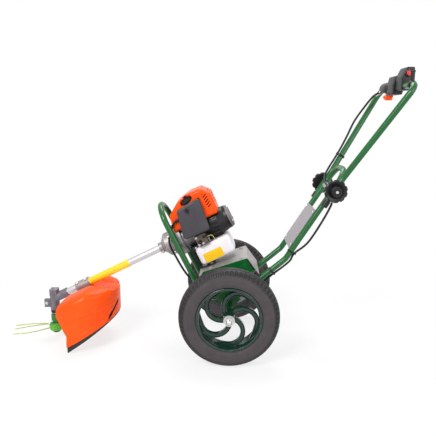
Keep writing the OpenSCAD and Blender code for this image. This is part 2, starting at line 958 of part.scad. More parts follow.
module engine_cover() {
    placed()
        color([1.0, 0.36, 0.16])
            on_shaft()
                difference() {
                    rounded_case(cover_outline, -cover_core, cover_core, cover_corner);
                    rounded_case(cover_outline, -cover_core, cover_core, cover_corner - cover_wall);
                    translate([0, -cover_half - over, -cover_half])
                        cube([cover_span_u, 2 * cover_half + 2 * over, cover_half + cover_low_w]);
                    shaft_rod(0, crankcase_u, fan_r + fit);
                    shaft_rod(crankcase_u + crankcase_l, cover_span_u, starter_r + fit);
                    for (u = [vent_front_u, vent_back_u]) {
                        translate([u, 0, vent_w]) side_rod(-cover_half - over, -vent_depth, vent_r);
                    }
                    translate([vent_front_u, -cover_half - over, vent_w - vent_r])
                        cube([vent_back_u - vent_front_u, cover_half + over - vent_depth, 2 * vent_r]);
                    translate([cylinder_u, 0, port_w]) side_rod(0, cover_half + over, port_r + over);
                }
}

filter_low_u = 115;
filter_top_u = 138;
filter_l = 98;
filter_low_w = 1;
filter_top_w = 113;
filter_drop = 3;
filter_rise = 10;
filter_narrow = 1.5;
filter_flare = 7;
filter_base_t = 12;
filter_corner = 9;
filter_wall = 2.5;
filter_outline = [
    [filter_low_u, filter_low_w],
    [filter_top_u, filter_top_w],
    [filter_top_u + filter_l - filter_narrow, filter_top_w + filter_rise],
    [filter_low_u + filter_l + filter_flare, filter_low_w - filter_drop]
];
filter_middle = (filter_outline[0] + filter_outline[1] + filter_outline[2] + filter_outline[3]) / 4;
function inset(points, d) = [
    for (p = points) p + [sign(filter_middle.x - p.x), sign(filter_middle.y - p.y)] * d
];
filter_back_y = -cover_half - fit;
filter_split_y = filter_back_y - filter_base_t;
filter_face_y = filter_back_y - filter_t;
filter_screw_u = 174;
filter_screw_w = 98;
filter_screw_r = 6.5;
filter_screw_h = 8;
filter_shank_r = 3;

module filter_base() {
    placed()
        color([0.15, 0.15, 0.16])
            on_shaft()
                difference() {
                    side_plate(inset(filter_outline, filter_wall), filter_split_y, filter_back_y);
                    translate([filter_screw_u, 0, filter_screw_w])
                        side_rod(filter_split_y - over, filter_back_y - filter_wall, filter_shank_r + run);
                }
}

module filter_cover() {
    core = inset(filter_outline, filter_corner);
    face_core_y = filter_face_y + filter_corner;
    placed()
        color([0.28, 0.27, 0.29])
            on_shaft()
                difference() {
                    rounded_case(core, face_core_y, filter_split_y, filter_corner);
                    rounded_case(core, face_core_y, filter_split_y, filter_corner - filter_wall);
                    translate([0, filter_split_y - fit, -filter_top_w])
                        cube([cover_span_u, filter_t, 2 * filter_top_w + cover_half]);
                    translate([filter_screw_u, 0, filter_screw_w])
                        side_rod(filter_face_y - over, filter_split_y, filter_shank_r + run);
                }
}

module filter_screw() {
    placed()
        color([0.10, 0.10, 0.10])
            on_shaft(filter_screw_u, filter_face_y, filter_screw_w) {
                side_rod(-clear - filter_screw_h, -clear, filter_screw_r);
                side_rod(-clear - over, filter_t - filter_base_t + filter_wall, filter_shank_r);
            }
}

carb_u = 150;
carb_l = 42;
carb_low_w = -46;
carb_h = 38;
carb_t = 22;
carb_face_y = -intake_y - fit - carb_t;
primer_u = 163;
primer_w = -33;
primer_r = 7.5;
primer_h = 3;
primer_travel = 4;
throat_r = 8;

module carburettor() {
    placed()
        color([0.66, 0.66, 0.67])
            on_shaft()
                difference() {
                    translate([carb_u, carb_face_y, carb_low_w]) cube([carb_l, carb_t, carb_h]);
                    translate([primer_u, 0, primer_w])
                        side_rod(carb_face_y - over, carb_face_y + primer_travel + over, primer_r + clear);
                    translate([intake_u, 0, intake_w])
                        side_rod(-intake_y - throat_r, -intake_y + over, throat_r);
                }
}

module primer_bulb() {
    placed()
        color([0.12, 0.12, 0.12])
            on_shaft(primer_u, carb_face_y - clear, primer_w) {
                side_rod(-primer_h, 0, primer_r);
                translate([0, -primer_h, 0])
                    rotate([90, 0, 0])
                        rotate_extrude()
                            intersection() {
                                circle(r = primer_r);
                                square(primer_r);
                            }
            }
}

choke_u = 184;
choke_w = -20;
choke_hub_r = 5;
choke_t = 3;
choke_arm_l = 20;
choke_arm_w = 5;

module choke_lever() {
    placed()
        color([0.10, 0.10, 0.10])
            on_shaft(choke_u, carb_face_y - clear, choke_w) {
                side_rod(-choke_t, 0, choke_hub_r);
                translate([0, -choke_t, -choke_arm_w / 2]) cube([choke_arm_l, choke_t, choke_arm_w]);
            }
}

fuel_line_d = 5;
fuel_line_wall = 1;
fuel_line_y = -59;
fuel_line_w = -27;
fuel_line_u = 213;
fuel_line_end_y = -42;
fuel_line_drop_w = -42;
fuel_bend_r = 6;

module fuel_line() {
    path = [
        shaft_point(carb_u + carb_l + fit, fuel_line_y, fuel_line_w),
        shaft_point(fuel_line_u, fuel_line_y, fuel_line_w),
        shaft_point(fuel_line_u, fuel_line_end_y, fuel_line_drop_w),
        shaft_point(fuel_line_u, fuel_line_end_y, tank_top_w + fit)
    ];
    placed()
        color([0.80, 0.76, 0.45])
            bent_pipe(path, [fuel_bend_r, fuel_bend_r], fuel_line_d, fuel_line_wall);
}

muffler_front_u = 126;
muffler_l = 84;
muffler_low_w = 34;
muffler_h = 72;
muffler_t = 30;
muffler_wall = 2;
muffler_corner = 9;
muffler_gap = 3;
muffler_y = cover_half + muffler_gap;
outlet_u = 192;
outlet_w = 52;
outlet_r = 7;
outlet_l = 12;

module muffler() {
    low = [muffler_front_u, muffler_low_w];
    high = low + [muffler_l, muffler_h];
    skin = [muffler_wall, muffler_wall];
    far = muffler_y + muffler_t;
    placed()
        color([0.42, 0.41, 0.40])
            on_shaft()
                difference() {
                    union() {
                        side_plate(round_rect(low, high, muffler_corner), muffler_y, far);
                        translate([cylinder_u, 0, port_w]) side_rod(port_y + fit, muffler_y + over, port_r);
                        translate([outlet_u, 0, outlet_w]) side_rod(far - over, far + outlet_l, outlet_r);
                    }
                    side_plate(
                        round_rect(low + skin, high - skin, muffler_corner - muffler_wall),
                        muffler_y + muffler_wall,
                        far - muffler_wall
                    );
                    translate([cylinder_u, 0, port_w])
                        side_rod(port_y, muffler_y + muffler_t / 2, port_bore_r);
                    translate([outlet_u, 0, outlet_w])
                        side_rod(muffler_y + muffler_t / 2, far + outlet_l + over, outlet_r - muffler_wall);
                }
}

starter_wall = 3.5;
starter_taper_l = 30;
starter_nose_l = 10;
starter_nose_r = starter_cover_r + 2 * over;
starter_u = crankcase_u + crankcase_l + fit;
starter_end = starter_u + starter_l;
rope_u = 238;
rope_boss_r = 9;
rope_boss_y = 60;
rope_hole_r = 3;

module starter_housing() {
    nose = starter_end - starter_nose_l;
    placed()
        color([0.14, 0.14, 0.15])
            on_shaft()
                difference() {
                    union() {
                        shaft_turned([
                            [starter_u, starter_r - starter_wall],
                            [starter_u, starter_r],
                            [nose - starter_taper_l, starter_r],
                            [nose, starter_nose_r],
                            [starter_end, starter_nose_r],
                            [starter_end, 0],
                            [starter_end - starter_wall, 0],
                            [starter_end - starter_wall, starter_nose_r - starter_wall],
                            [nose, starter_nose_r - starter_wall],
                            [nose - starter_taper_l, starter_r - starter_wall]
                        ]);
                        translate([rope_u, 0, 0])
                            side_rod(starter_r - starter_wall, rope_boss_y, rope_boss_r);
                    }
                    translate([rope_u, 0, 0])
                        side_rod(starter_nose_r, rope_boss_y + over, rope_hole_r);
                }
}

starter_cover_t = 11;
starter_cover_edge = 5;
starter_ring_r = 30;
starter_slots = 9;
starter_slot_w = 6;
starter_slot_depth = 4;

module starter_cover() {
    start = starter_end + fit;
    slot_start = start + starter_cover_t - starter_slot_depth;
    placed()
        color([0.58, 0.57, 0.57])
            on_shaft()
                difference() {
                    shaft_turned([
                        [start, 0],
                        [start, starter_cover_r],
                        [start + starter_cover_t - starter_cover_edge, starter_cover_r],
                        [start + starter_cover_t, starter_cover_r - starter_cover_edge],
                        [start + starter_cover_t, 0]
                    ]);
                    for (i = [1:starter_slots]) {
                        rotate([360 / starter_slots * i, 0, 0])
                            translate([slot_start, -starter_slot_w / 2, starter_ring_r / 2])
                                cube([starter_cover_t, starter_slot_w, starter_ring_r / 2]);
                    }
                }
}

grip_h = 18;
grip_l = 34;
grip_r = 6;
grip_stem_r = 8;

module starter_grip() {
    placed()
        color([0.10, 0.10, 0.10])
            on_shaft(rope_u, rope_boss_y + clear, 0) {
                side_rod(0, grip_h, grip_stem_r);
                translate([-grip_l / 2, grip_h, 0]) shaft_rod(0, grip_l, grip_r);
            }
}

// Trimmer shaft

tube_end_gap = 34;
tube_start = tube_end_gap - head_l;
bush_l = 20;
bush_shares = [0.2, 0.5, 0.83];

module shaft_tube() {
    placed()
        color([0.72, 0.71, 0.72])
            on_shaft()
                difference() {
                    shaft_rod(tube_start + fit, socket_l - fit, shaft_r);
                    shaft_rod(tube_start, socket_l, shaft_r - shaft_wall);
                }
}

module shaft_bushes() {
    placed()
        color([0.75, 0.60, 0.30])
            on_shaft()
                for (share = bush_shares) {
                    u = tube_start * share;
                    difference() {
                        shaft_rod(u, u + bush_l, shaft_r - shaft_wall - fit);
                        shaft_rod(u - over, u + bush_l + over, drive_r + run);
                    }
                }
}

// Bevel gears on the shaft axis and on the cutter's upright axis, their cones meeting in one apex
gear_angle = 90 - shaft_angle;
pinion_teeth = 14;
gear_teeth = 19;
pinion_cone = atan2(sin(gear_angle), gear_teeth / pinion_teeth + cos(gear_angle));
gear_cone = gear_angle - pinion_cone;
cone_near = 15;
cone_far = 21;
tooth_add_share = 0.6;
tooth_ded_share = 1.0;
tooth_root_share = 0.25;
tooth_tip_share = 0.13;

function tooth(teeth, i, root, tip) = [
    for (
        c = [
            [root, -tooth_root_share],
            [tip, -tooth_tip_share],
            [tip, tooth_tip_share],
            [root, tooth_root_share]
        ]
    )
        c[0] * turn(360 / teeth * (i + c[1]))
];

// A bevel gear whose apex lies at the origin, opening along Z
module bevel(teeth, cone, first, bore_r) {
    r = cone_near * sin(cone);
    module_size = 2 * r / teeth;
    tip = r + tooth_add_share * module_size / cos(cone);
    root = r - tooth_ded_share * module_size / cos(cone);
    near = cone_near * cos(cone);
    height = (cone_far - cone_near) * cos(cone);
    difference() {
        translate([0, 0, near])
            rotate([0, 0, first])
                linear_extrude(height = height, scale = cone_far / cone_near)
                    polygon([for (i = [0:teeth - 1]) each tooth(teeth, i, root, tip)]);
        translate([0, 0, near - over]) cylinder(h = height + 2 * over, r = bore_r);
    }
}

module bevel_pinion() {
    placed()
        color([0.45, 0.45, 0.47])
            on_shaft(-head_l) rotate([0, 90, 0]) bevel(pinion_teeth, pinion_cone, 180, drive_r + fit);
}

module drive_shaft() {
    placed()
        color("silver")
            on_shaft() shaft_rod(-head_l + cone_near * cos(pinion_cone), drum_u + drum_web, drive_r);
}

drum_u = 38;
drum_web = 3;
drum_l = 22;
drum_r = 39;
drum_wall = 3;
drum_hub_r = 9;
drum_hub_l = 8;

module clutch_drum() {
    placed()
        color([0.40, 0.40, 0.42])
            on_shaft()
                shaft_turned([
                    [drum_u - drum_hub_l, drive_r + fit],
                    [drum_u - drum_hub_l, drum_hub_r],
                    [drum_u, drum_hub_r],
                    [drum_u, drum_r],
                    [drum_u + drum_l, drum_r],
                    [drum_u + drum_l, drum_r - drum_wall],
                    [drum_u + drum_web, drum_r - drum_wall],
                    [drum_u + drum_web, drive_r + fit]
                ]);
}

// Gear case and line head, on the cutter's upright axis

case_drop = 45;
case_low = apex_z - case_drop;
case_wall = 3.5;
case_cavity_r = case_r - case_wall;
case_cavity_top = 24;
case_cavity_low = 8;
case_socket_l = 62;
case_bush_u = 24;
case_bore_r = 11;
output_r = 6;
lug_l = 40;
lug_w = 14;
lug_low = 36;
lug_h = 32;
lug_hole_r = 3;
lug_hole_inset = 9;

module gear_case() {
    placed()
        color([0.50, 0.49, 0.51])
            difference() {
                union() {
                    translate([head_x, 0, case_low]) cylinder(h = apex_z + case_top - case_low, r = case_r);
                    on_shaft() shaft_rod(-head_l, case_socket_l - head_l, case_r);
                    translate([head_x - lug_l, -lug_w / 2, apex_z - lug_low]) cube([lug_l, lug_w, lug_h]);
                }
                translate([head_x, 0, case_low - over])
                    cylinder(h = apex_z + case_cavity_top - case_low, r = output_r + run);
                translate([head_x, 0, apex_z - case_cavity_low])
                    cylinder(h = case_cavity_low + case_cavity_top, r = case_cavity_r);
                on_shaft(-head_l) {
                    shaft_rod(0, case_bush_u, case_bore_r);
                    shaft_rod(0, case_socket_l, drive_r + run);
                    shaft_rod(tube_start + head_l, case_socket_l + over, shaft_r + fit);
                }
                translate([head_x - lug_l + lug_hole_inset, 0, apex_z - lug_low + lug_h / 2])
                    side_rod(-lug_w, lug_w, lug_hole_r);
            }
}

head_top = 100;
collar_r = 12;
collar_head_gap = 5;
collar_case_gap = 4;
collar_low = head_top + collar_head_gap;
collar_top = cutter_h - case_drop - collar_case_gap;
output_low = 84;
output_top = cutter_h + case_cavity_top - over;

module output_shaft() {
    placed()
        color([0.80, 0.80, 0.78])
            translate([head_x, 0, cutter_z]) {
                translate([0, 0, output_low]) cylinder(h = output_top - output_low, r = output_r);
                translate([0, 0, collar_low]) cylinder(h = collar_top - collar_low, r = collar_r);
            }
}

module bevel_gear() {
    placed()
        color([0.45, 0.45, 0.47])
            translate([head_x, 0, apex_z])
                bevel(gear_teeth, gear_cone, 180 / gear_teeth, output_r + fit);
}

bell_top = 65;
bell_edge = 6;
waist_r = 14;
waist_h = 6;
upper_r = 18;
knob_hole_r = 16.4;
knob_hole_l = 10;
spool_r = 20;
spool_top = 62;

module line_head() {
    placed()
        color([0.20, 0.52, 0.18])
            translate([head_x, 0, cutter_z])
                rotate_extrude()
                    polygon([
                        [output_r + fit, head_top],
                        [upper_r, head_top],
                        [upper_r, bell_top + waist_h],
                        [waist_r, bell_top + waist_h / 2],
                        [bell_r - bell_edge, bell_top],
                        [bell_r, bell_top - bell_edge],
                        [bell_r, head_z + bell_edge],
                        [bell_r - bell_edge, head_z],
                        [knob_hole_r, head_z],
                        [knob_hole_r, head_z + knob_hole_l],
                        [spool_r, head_z + knob_hole_l],
                        [spool_r, spool_top - bell_edge],
                        [waist_r - bell_edge, spool_top],
                        [0, spool_top],
                        [0, output_low - fit],
                        [output_r + fit, output_low - fit]
                    ]);
}

bump_drop = 9;
bump_edge = 4;
bump_flange_t = 3;

module bump_knob() {
    r = knob_hole_r - clear;
    flange_z = head_z + knob_hole_l + clear;
    placed()
        color([0.10, 0.10, 0.10])
            translate([head_x, 0, cutter_z])
                rotate_extrude()
                    polygon([
                        [0, head_z - bump_drop],
                        [r - bump_edge, head_z - bump_drop],
                        [r, head_z - bump_drop + bump_edge],
                        [r, flange_z],
                        [spool_r - clear, flange_z],
                        [spool_r - clear, flange_z + bump_flange_t],
                        [0, flange_z + bump_flange_t]
                    ]);
}

// Each line leaves the bell at one angle and height, and droops towards its tip
line_angles = [180, 192, 222, 0, 12, 42];
line_exit_heights = [58, 58, 48, 58, 58, 48];
line_droops = [6, 16, 0, 6, 16, 0];

module trimmer_lines() {
    placed()
        color([0.66, 0.72, 0.30])
            for (i = [0:len(line_angles) - 1]) {
                way = turn(line_angles[i]);
                root = [bell_r * way.x, bell_r * way.y, line_exit_heights[i]];
                tip = [line_reach * way.x, line_reach * way.y, line_exit_heights[i] - line_droops[i]];
                translate([head_x, 0, cutter_z])
                    aim(root + fit * [way.x, way.y, 0], tip - root)
                        cylinder(h = norm(tip - root) - fit, d = line_d);
            }
}

// Guard

guard_columns = 12;
guard_row_shares = [0.05, 0.2, 0.36, 0.52, 0.67, 0.8, 0.9, 0.97, 1];
guard_top_rows = len(guard_row_shares) - 1;
guard_wall_rows = 3;
guard_power = 3.5;
guard_top_angle = 116;
guard_low_angle = 100;
guard_gap = 2;
shoulder_h = 165;
shoulder_angle = 17.2;
lobe_h = 16;
lobe_start = 34;
lobe_run = 34;
skirt_rear_h = 6;
ground_run = 26;
ground_x = -guard_x - ground_run;

function guard_floor(x) = cutter_z + max(0, (x - ground_x) * tan(guard_tilt));
function skirt_height(x) = skirt_h + (skirt_rear_h - skirt_h) * (x - ground_x) / (guard_r + ground_run);
function lobe(y) = let (t = max(0, min(1, (abs(y) - lobe_start) / lobe_run))) lobe_h * t * t * (3 - 2 * t);
function guard_under_shaft(x) = shaft_height(x) - shaft_r / shaft_c - guard_gap;
function guard_ceiling(x, y) = min(guard_under_shaft(x), cutter_z + guard_top_h) + lobe(y);
function guard_shoulder(x) = cutter_z + shoulder_h + (x + guard_x) * tan(shoulder_angle);

// One point of the guard's skin: row 0 at the top's middle, the last row at the lower rim
function guard_point(row, column, depth) =
    let (
        on_top = row <= guard_top_rows,
        out_share = guard_row_shares[min(row, guard_top_rows)],
        rise_share = pow(1 - pow(out_share, guard_power), 1 / guard_power),
        fall_share = on_top ? 0 : (row - guard_top_rows) / guard_wall_rows,
        sweep_share = min(1, fall_share * guard_wall_rows / (guard_wall_rows - 1)),
        r = (guard_r - depth) * out_share,
        limit = guard_top_angle + (guard_low_angle - guard_top_angle) * sweep_share,
        a = limit * column / guard_columns,
        x = -guard_x + r * cos(a),
        y = r * sin(a),
        shoulder = guard_shoulder(x),
        rim = guard_floor(x) + skirt_height(x),
        dome = shoulder + (guard_ceiling(x, y) - depth - shoulder) * rise_share
    )
        [x, y, on_top ? dome : shoulder + (rim - shoulder) * fall_share];

// A closed shell between two skins, each a list of rows of points; the first skin is the outer one
module shell(outer, inner) {
    rows = len(outer);
    columns = len(outer[0]);
    size = rows * columns;
    last = columns - 1;
    function at(skin, r, c) = skin * size + r * columns + c;
    function pair(a, b, c, d) = [[a, b, c], [a, c, d]];
    outer_faces = [
        for (r = [0:rows - 2], c = [0:columns - 2])
            each pair(at(0, r, c), at(0, r, c + 1), at(0, r + 1, c + 1), at(0, r + 1, c))
    ];
    inner_faces = [
        for (r = [0:rows - 2], c = [0:columns - 2])
            each pair(at(1, r, c), at(1, r + 1, c), at(1, r + 1, c + 1), at(1, r, c + 1))
    ];
    row_edges = [
        for (c = [0:columns - 2])
            each concat(
                pair(at(0, 0, c), at(1, 0, c), at(1, 0, c + 1), at(0, 0, c + 1)),
                pair(at(0, rows - 1, c), at(0, rows - 1, c + 1), at(1, rows - 1, c + 1), at(1, rows - 1, c))
            )
    ];
    column_edges = [
        for (r = [0:rows - 2])
            each concat(
                pair(at(0, r, 0), at(0, r + 1, 0), at(1, r + 1, 0), at(1, r, 0)),
                pair(at(0, r, last), at(1, r, last), at(1, r + 1, last), at(0, r + 1, last))
            )
    ];
    polyhedron(
        [for (skin = [outer, inner], row = skin) each row],
        concat(outer_faces, inner_faces, row_edges, column_edges)
    );
}

function guard_skin(depth) = [
    for (row = [0:guard_top_rows + guard_wall_rows])
        [for (c = [-guard_columns:guard_columns]) guard_point(row, c, depth)]
];

module guard() {
    placed() color([1.0, 0.39, 0.16]) shell(guard_skin(0), guard_skin(guard_wall));
}

skirt_lap = 14;
function skirt_row(depth, up) = [
    for (c = [-guard_columns:guard_columns])
        let (p = guard_point(guard_top_rows + guard_wall_rows, c, depth))
            [p.x, p.y, up ? guard_floor(p.x) + skirt_height(p.x) + skirt_lap : guard_floor(p.x)]
];
function skirt_skin(depth) = [skirt_row(depth, true), skirt_row(depth, false)];

module guard_skirt() {
    seat = guard_wall + fit;
    placed() color([0.09, 0.09, 0.09]) shell(skirt_skin(seat), skirt_skin(seat + skirt_wall));
}

blade_angle = -72;
blade_l = 28;
blade_up = 20;
blade_thick = 2.5;
blade_seat_r = (guard_r - guard_wall - fit - skirt_wall) * cos(guard_low_angle / guard_columns / 2) - fit;
blade_z = guard_floor(-guard_x + blade_seat_r * cos(blade_angle)) + over;

module line_cutter() {
    placed()
        color("silver")
            translate([-guard_x, 0, blade_z])
                rotate([0, 0, blade_angle])
                    translate([blade_seat_r - blade_l, -blade_thick / 2, 0])
                        cube([blade_l, blade_thick, blade_up]);
}

clamp_gap = 105;
clamp_u = clamp_gap - head_l;
clamp_l = 56;
clamp_wall = 6;
clamp_foot_half = 20;
clamp_foot_t = 6;

module guard_clamp() {
    seat_w_low = -shaft_r - guard_gap * shaft_c + fit;
    placed()
        color([0.12, 0.12, 0.12])
            on_shaft(clamp_u)
                difference() {
                    union() {
                        shaft_rod(0, clamp_l, shaft_r + clamp_wall);
                        translate([0, -clamp_foot_half, seat_w_low])
                            cube([clamp_l, 2 * clamp_foot_half, clamp_foot_t]);
                    }
                    shaft_rod(-over, clamp_l + over, shaft_r + fit);
                    translate([-over, -shaft_d, -2 * shaft_d])
                        cube([clamp_l + 2 * over, 2 * shaft_d, 2 * shaft_d + seat_w_low]);
                }
}

// Handle

handle_straight = 55;
handle_bend_r = 90;
handle_corner_r = 32;
tail_point = pivot - handle_tail * handle_dir - [0, handle_y, 0];
straight_point = pivot + handle_straight * handle_dir - [0, handle_y, 0];
corner_point = crossbar - [0, handle_w / 2, 0];

module handle_bar() {
    path = both_sides([tail_point, straight_point, corner_point]);
    radii = [handle_bend_r, handle_corner_r, handle_corner_r, handle_bend_r];
    placed()
        color([0.16, 0.48, 0.25])
            difference() {
                bent_pipe(path, radii, tube_d, tube_wall);
                for (y = [-handle_y, handle_y]) {
                    translate(pivot + [0, y, 0]) side_rod(-tube_d, tube_d, bolt_d / 2 + run);
                }
            }
}

cap_wall = 1.5;
cap_cover_l = 26;
cap_end_t = 4;

module handle_caps() {
    placed()
        color([0.08, 0.08, 0.08])
            for (p = [tail_point, mirror_y(tail_point)]) {
                aim(p - cap_end_t * handle_dir, handle_dir)
                    difference() {
                        cylinder(h = cap_cover_l, d = tube_d + 2 * cap_wall);
                        translate([0, 0, cap_end_t - fit]) cylinder(h = cap_cover_l, d = tube_d + 2 * fit);
                    }
            }
}

bolt_head_r = 11;
bolt_head_h = 5;
bolt_show = 4;
bolt_in_y = leg_y - tube_r - fit;
spacer_y = leg_y + tube_r + fit;
knob_y = handle_y + tube_r + clear;
bolt_end_y = knob_y + knob_h + bolt_show;

module pivot_bolts() {
    placed()
        color("silver")
            for (side = [-1, 1]) {
                translate(pivot)
                    rotate([0, 0, side < 0 ? 180 : 0]) {
                        side_rod(bolt_in_y - bolt_head_h, bolt_end_y, bolt_d / 2);
                        side_rod(bolt_in_y - bolt_head_h, bolt_in_y, bolt_head_r);
                        side_rod(spacer_y, spacer_y + pivot_gap - clear - fit, bolt_head_r);
                    }
            }
}

knob_rim_share = 0.62;
knob_chamfer = 5;
knob_boss_r = 19;
knob_notches = 10;
knob_notch_r = 6;
knob_notch_out = 2;

// A notched clamp knob, its foot at the origin and its axis along Z
module clamp_knob() {
    rim_h = knob_h * knob_rim_share;
    difference() {
        rotate_extrude()
            polygon([
                [bolt_d / 2 + run, 0],
                [knob_d / 2 - knob_chamfer, 0],
                [knob_d / 2, knob_chamfer],
                [knob_d / 2, rim_h - knob_chamfer],
                [knob_d / 2 - knob_chamfer, rim_h],
                [knob_boss_r + knob_chamfer, rim_h - knob_chamfer],
                [knob_boss_r, knob_h - knob_chamfer],
                [knob_boss_r - knob_chamfer, knob_h],
                [bolt_d / 2 + run, knob_h]
            ]);
        for (i = [1:knob_notches]) {
            rotate([0, 0, 360 / knob_notches * i])
                translate([knob_d / 2 + knob_notch_out, 0, -over]) cylinder(h = knob_h, r = knob_notch_r);
        }
    }
}

module left_knob() {
    placed() color([0.08, 0.08, 0.08]) translate(pivot - [0, knob_y, 0]) rotate([90, 0, 0]) clamp_knob();
}

module right_knob() {
    placed() color([0.08, 0.08, 0.08]) translate(pivot + [0, knob_y, 0]) rotate([-90, 0, 0]) clamp_knob();
}

// Throttle, measured from the middle of the crossbar

body_y = 58;
block_end_y = 55;
block_y = block_end_y - block_l;
block_split_y = -14;
block_front = 14;
block_low = 14;
block_step = 30;
block_top_front = 2;
middle_front = 21;
middle_back = 22;
middle_low = 26;
middle_h = 40;
middle_step = 10;
slot_half = 8;
cheek_l = 20;
slot_top = 13;
hinge_inset = 9;
hinge_y = body_y + hinge_inset;
hinge_z = -20;
hinge_r = 3;
hinge_half = 13;
hinge_hub_r = 6;
stop_r = 9;
stop_h = 10;
stop_x = 8;
stop_z = 42;
stop_travel = 4;
stub_r = 7;
stub_h = 36;
stub_y = -146;
stub_ring_t = 3;
stub_ring_half = 8;
block_outline = [
    [-block_front, -block_low],
    [middle_back, -block_low],
    [block_back, block_h],
    [block_top_front, block_h],
    [-block_front, block_step]
];
middle_outline = [
    [-middle_front, -middle_low],
    [block_front, -middle_low],
    [middle_back, middle_step],
    [block_front, middle_h],
    [-block_front, middle_h],
    [-middle_front, middle_step]
];

// The throttle body with its switch block, and a stub on a ring further along the crossbar
module throttle_housing() {
    placed()
        color([0.10, 0.10, 0.11])
            translate(crossbar)
                difference() {
                    union() {
                        side_rod(block_end_y - over, body_y + throttle_l, throttle_d / 2);
                        side_plate(block_outline, block_y, block_split_y);
                        side_plate(middle_outline, block_split_y - over, block_end_y);
                        translate([0, stub_y, 0]) {
                            side_rod(-stub_ring_half, stub_ring_half, tube_r + stub_ring_t);
                            cylinder(h = tube_r + stub_h, r = stub_r);
                        }
                    }
                    side_rod(stub_y - tube_d, body_y + throttle_l + over, tube_r + fit);
                    translate([-slot_half, body_y, -throttle_d])
                        cube([2 * slot_half, throttle_l + over, throttle_d - slot_top]);
                    translate([-throttle_d, body_y + cheek_l, -throttle_d])
                        cube([2 * throttle_d, throttle_l, throttle_d - slot_top]);
                    translate([-hinge_half, hinge_y, hinge_z])
                        rotate([0, 90, 0]) cylinder(h = 2 * hinge_half, r = hinge_r + run);
                    translate([stop_x, 0, stop_z])
                        side_rod(block_y - over, block_y + stop_travel + over, stop_r + clear);
                }
}

trigger_l = 66;
trigger_half = 7;
trigger_top = 18;
trigger_tip = 24.5;
trigger_nose = 14;
trigger_belly_shares = [0.2, 0.58];
paddle_half = 12;
paddle_gap = 2;
paddle_top = 19.5;
paddle_y = body_y + cheek_l + paddle_gap;
trigger_belly = [
    [body_y + trigger_l, -trigger_tip],
    [body_y + trigger_l, -trigger_top - trigger_nose],
    [body_y + trigger_l * trigger_belly_shares[1], -trigger_top - trigger_h]
];
trigger_outline = concat(
    [[body_y + clear, hinge_z - hinge_r], [hinge_y, hinge_z + hinge_r]],
    trigger_belly,
    [
        [body_y + trigger_l * trigger_belly_shares[0], -trigger_top - trigger_h],
        [body_y + clear, -trigger_top - trigger_nose]
    ]
);
paddle_outline = concat(
    [[paddle_y, -paddle_top]],
    trigger_belly,
    [[paddle_y, -trigger_top - trigger_h]]
);

// A lever on a hinge pin between the body's cheeks, with a wider paddle for the fingers
module throttle_trigger() {
    placed()
        color([1.0, 0.40, 0.10])
            translate(crossbar) {
                rotate([90, 0, 90])
                    translate([0, 0, -trigger_half])
                        linear_extrude(height = 2 * trigger_half) polygon(trigger_outline);
                rotate([90, 0, 90])
                    translate([0, 0, -paddle_half])
                        linear_extrude(height = 2 * paddle_half) polygon(paddle_outline);
                translate([-hinge_half + clear, hinge_y, hinge_z])
                    rotate([0, 90, 0]) cylinder(h = 2 * hinge_half - 2 * clear, r = hinge_r);
                translate([-trigger_half, hinge_y, hinge_z])
                    rotate([0, 90, 0]) cylinder(h = 2 * trigger_half, r = hinge_hub_r);
            }
}

module stop_switch() {
    placed()
        color([0.80, 0.08, 0.08])
            translate(crossbar + [stop_x, block_y - clear, stop_z]) side_rod(-stop_h, 0, stop_r);
}

// Throttle cable, in two lengths that meet on the handle's pivot axis

cable_meet_y = 12;
cable_gap = 0.8;
cable_off = tube_r + cable_d / 2 + cable_gap;
function on_handle(p) = pivot + p[0] * handle_dir + p[2] * handle_normal + [0, p[1], 0];
far_lean = (handle_w / 2 - handle_y) / (handle_l - handle_straight);
function far_tube_y(s) = handle_y + max(0, s - handle_straight) * far_lean;
cable_exit_angle = 26.6;
cable_exit_way = [-cos(cable_exit_angle), 0, -sin(cable_exit_angle)];
cable_exit_y = 116;
cable_exit_gap = 1.4;
cable_exit_run = 56;
cable_meet_gap = 2;
// Hand-set places of the cable's bow in front of the far tube: along the handle, and in front
upper_bow = [[330, 23], [270, 27], [205, 21], [150, 17.5]];
// Hand-set points of its turn to the pivot's axis: along the handle, to the side, in front
upper_turn = [[100, 114, 17.5], [66, 108, 17.8], [36, 91, 18.2], [18, 71.5, 15.8], [6, 48, 7.5], [1, 28, 1.2]];
upper_route = concat(
    [
        crossbar + (throttle_d / 2 + cable_exit_gap) * cable_exit_way + [0, cable_exit_y, 0],
        crossbar + cable_exit_run * cable_exit_way + [0, cable_exit_y, 0]
    ],
    [for (p = upper_bow) on_handle([p[0], far_tube_y(p[0]), p[1]])],
    [for (p = upper_turn) on_handle(p)],
    [on_handle([0, cable_meet_y + cable_meet_gap, 0])]
);

// Points on the near leg of the rear hoop: a distance up or down from its bend, and one behind the leg
lower_dir = [cos(lower_leg_angle), 0, sin(lower_leg_angle)];
lower_back = [sin(lower_leg_angle), 0, -cos(lower_leg_angle)];
bend_back = unit(lower_back - handle_normal);
bend_rise = 1.6;
tie_upper_s = 34;
tie_lower_s = 70;
tie_rise = 0.4;
tie_off = cable_off + tie_rise;
function on_upper_leg(s, back) = rear_bend + s * handle_dir - back * handle_normal - [0, leg_y, 0];
function on_lower_leg(s, back) = rear_bend - s * lower_dir + back * lower_back - [0, leg_y, 0];
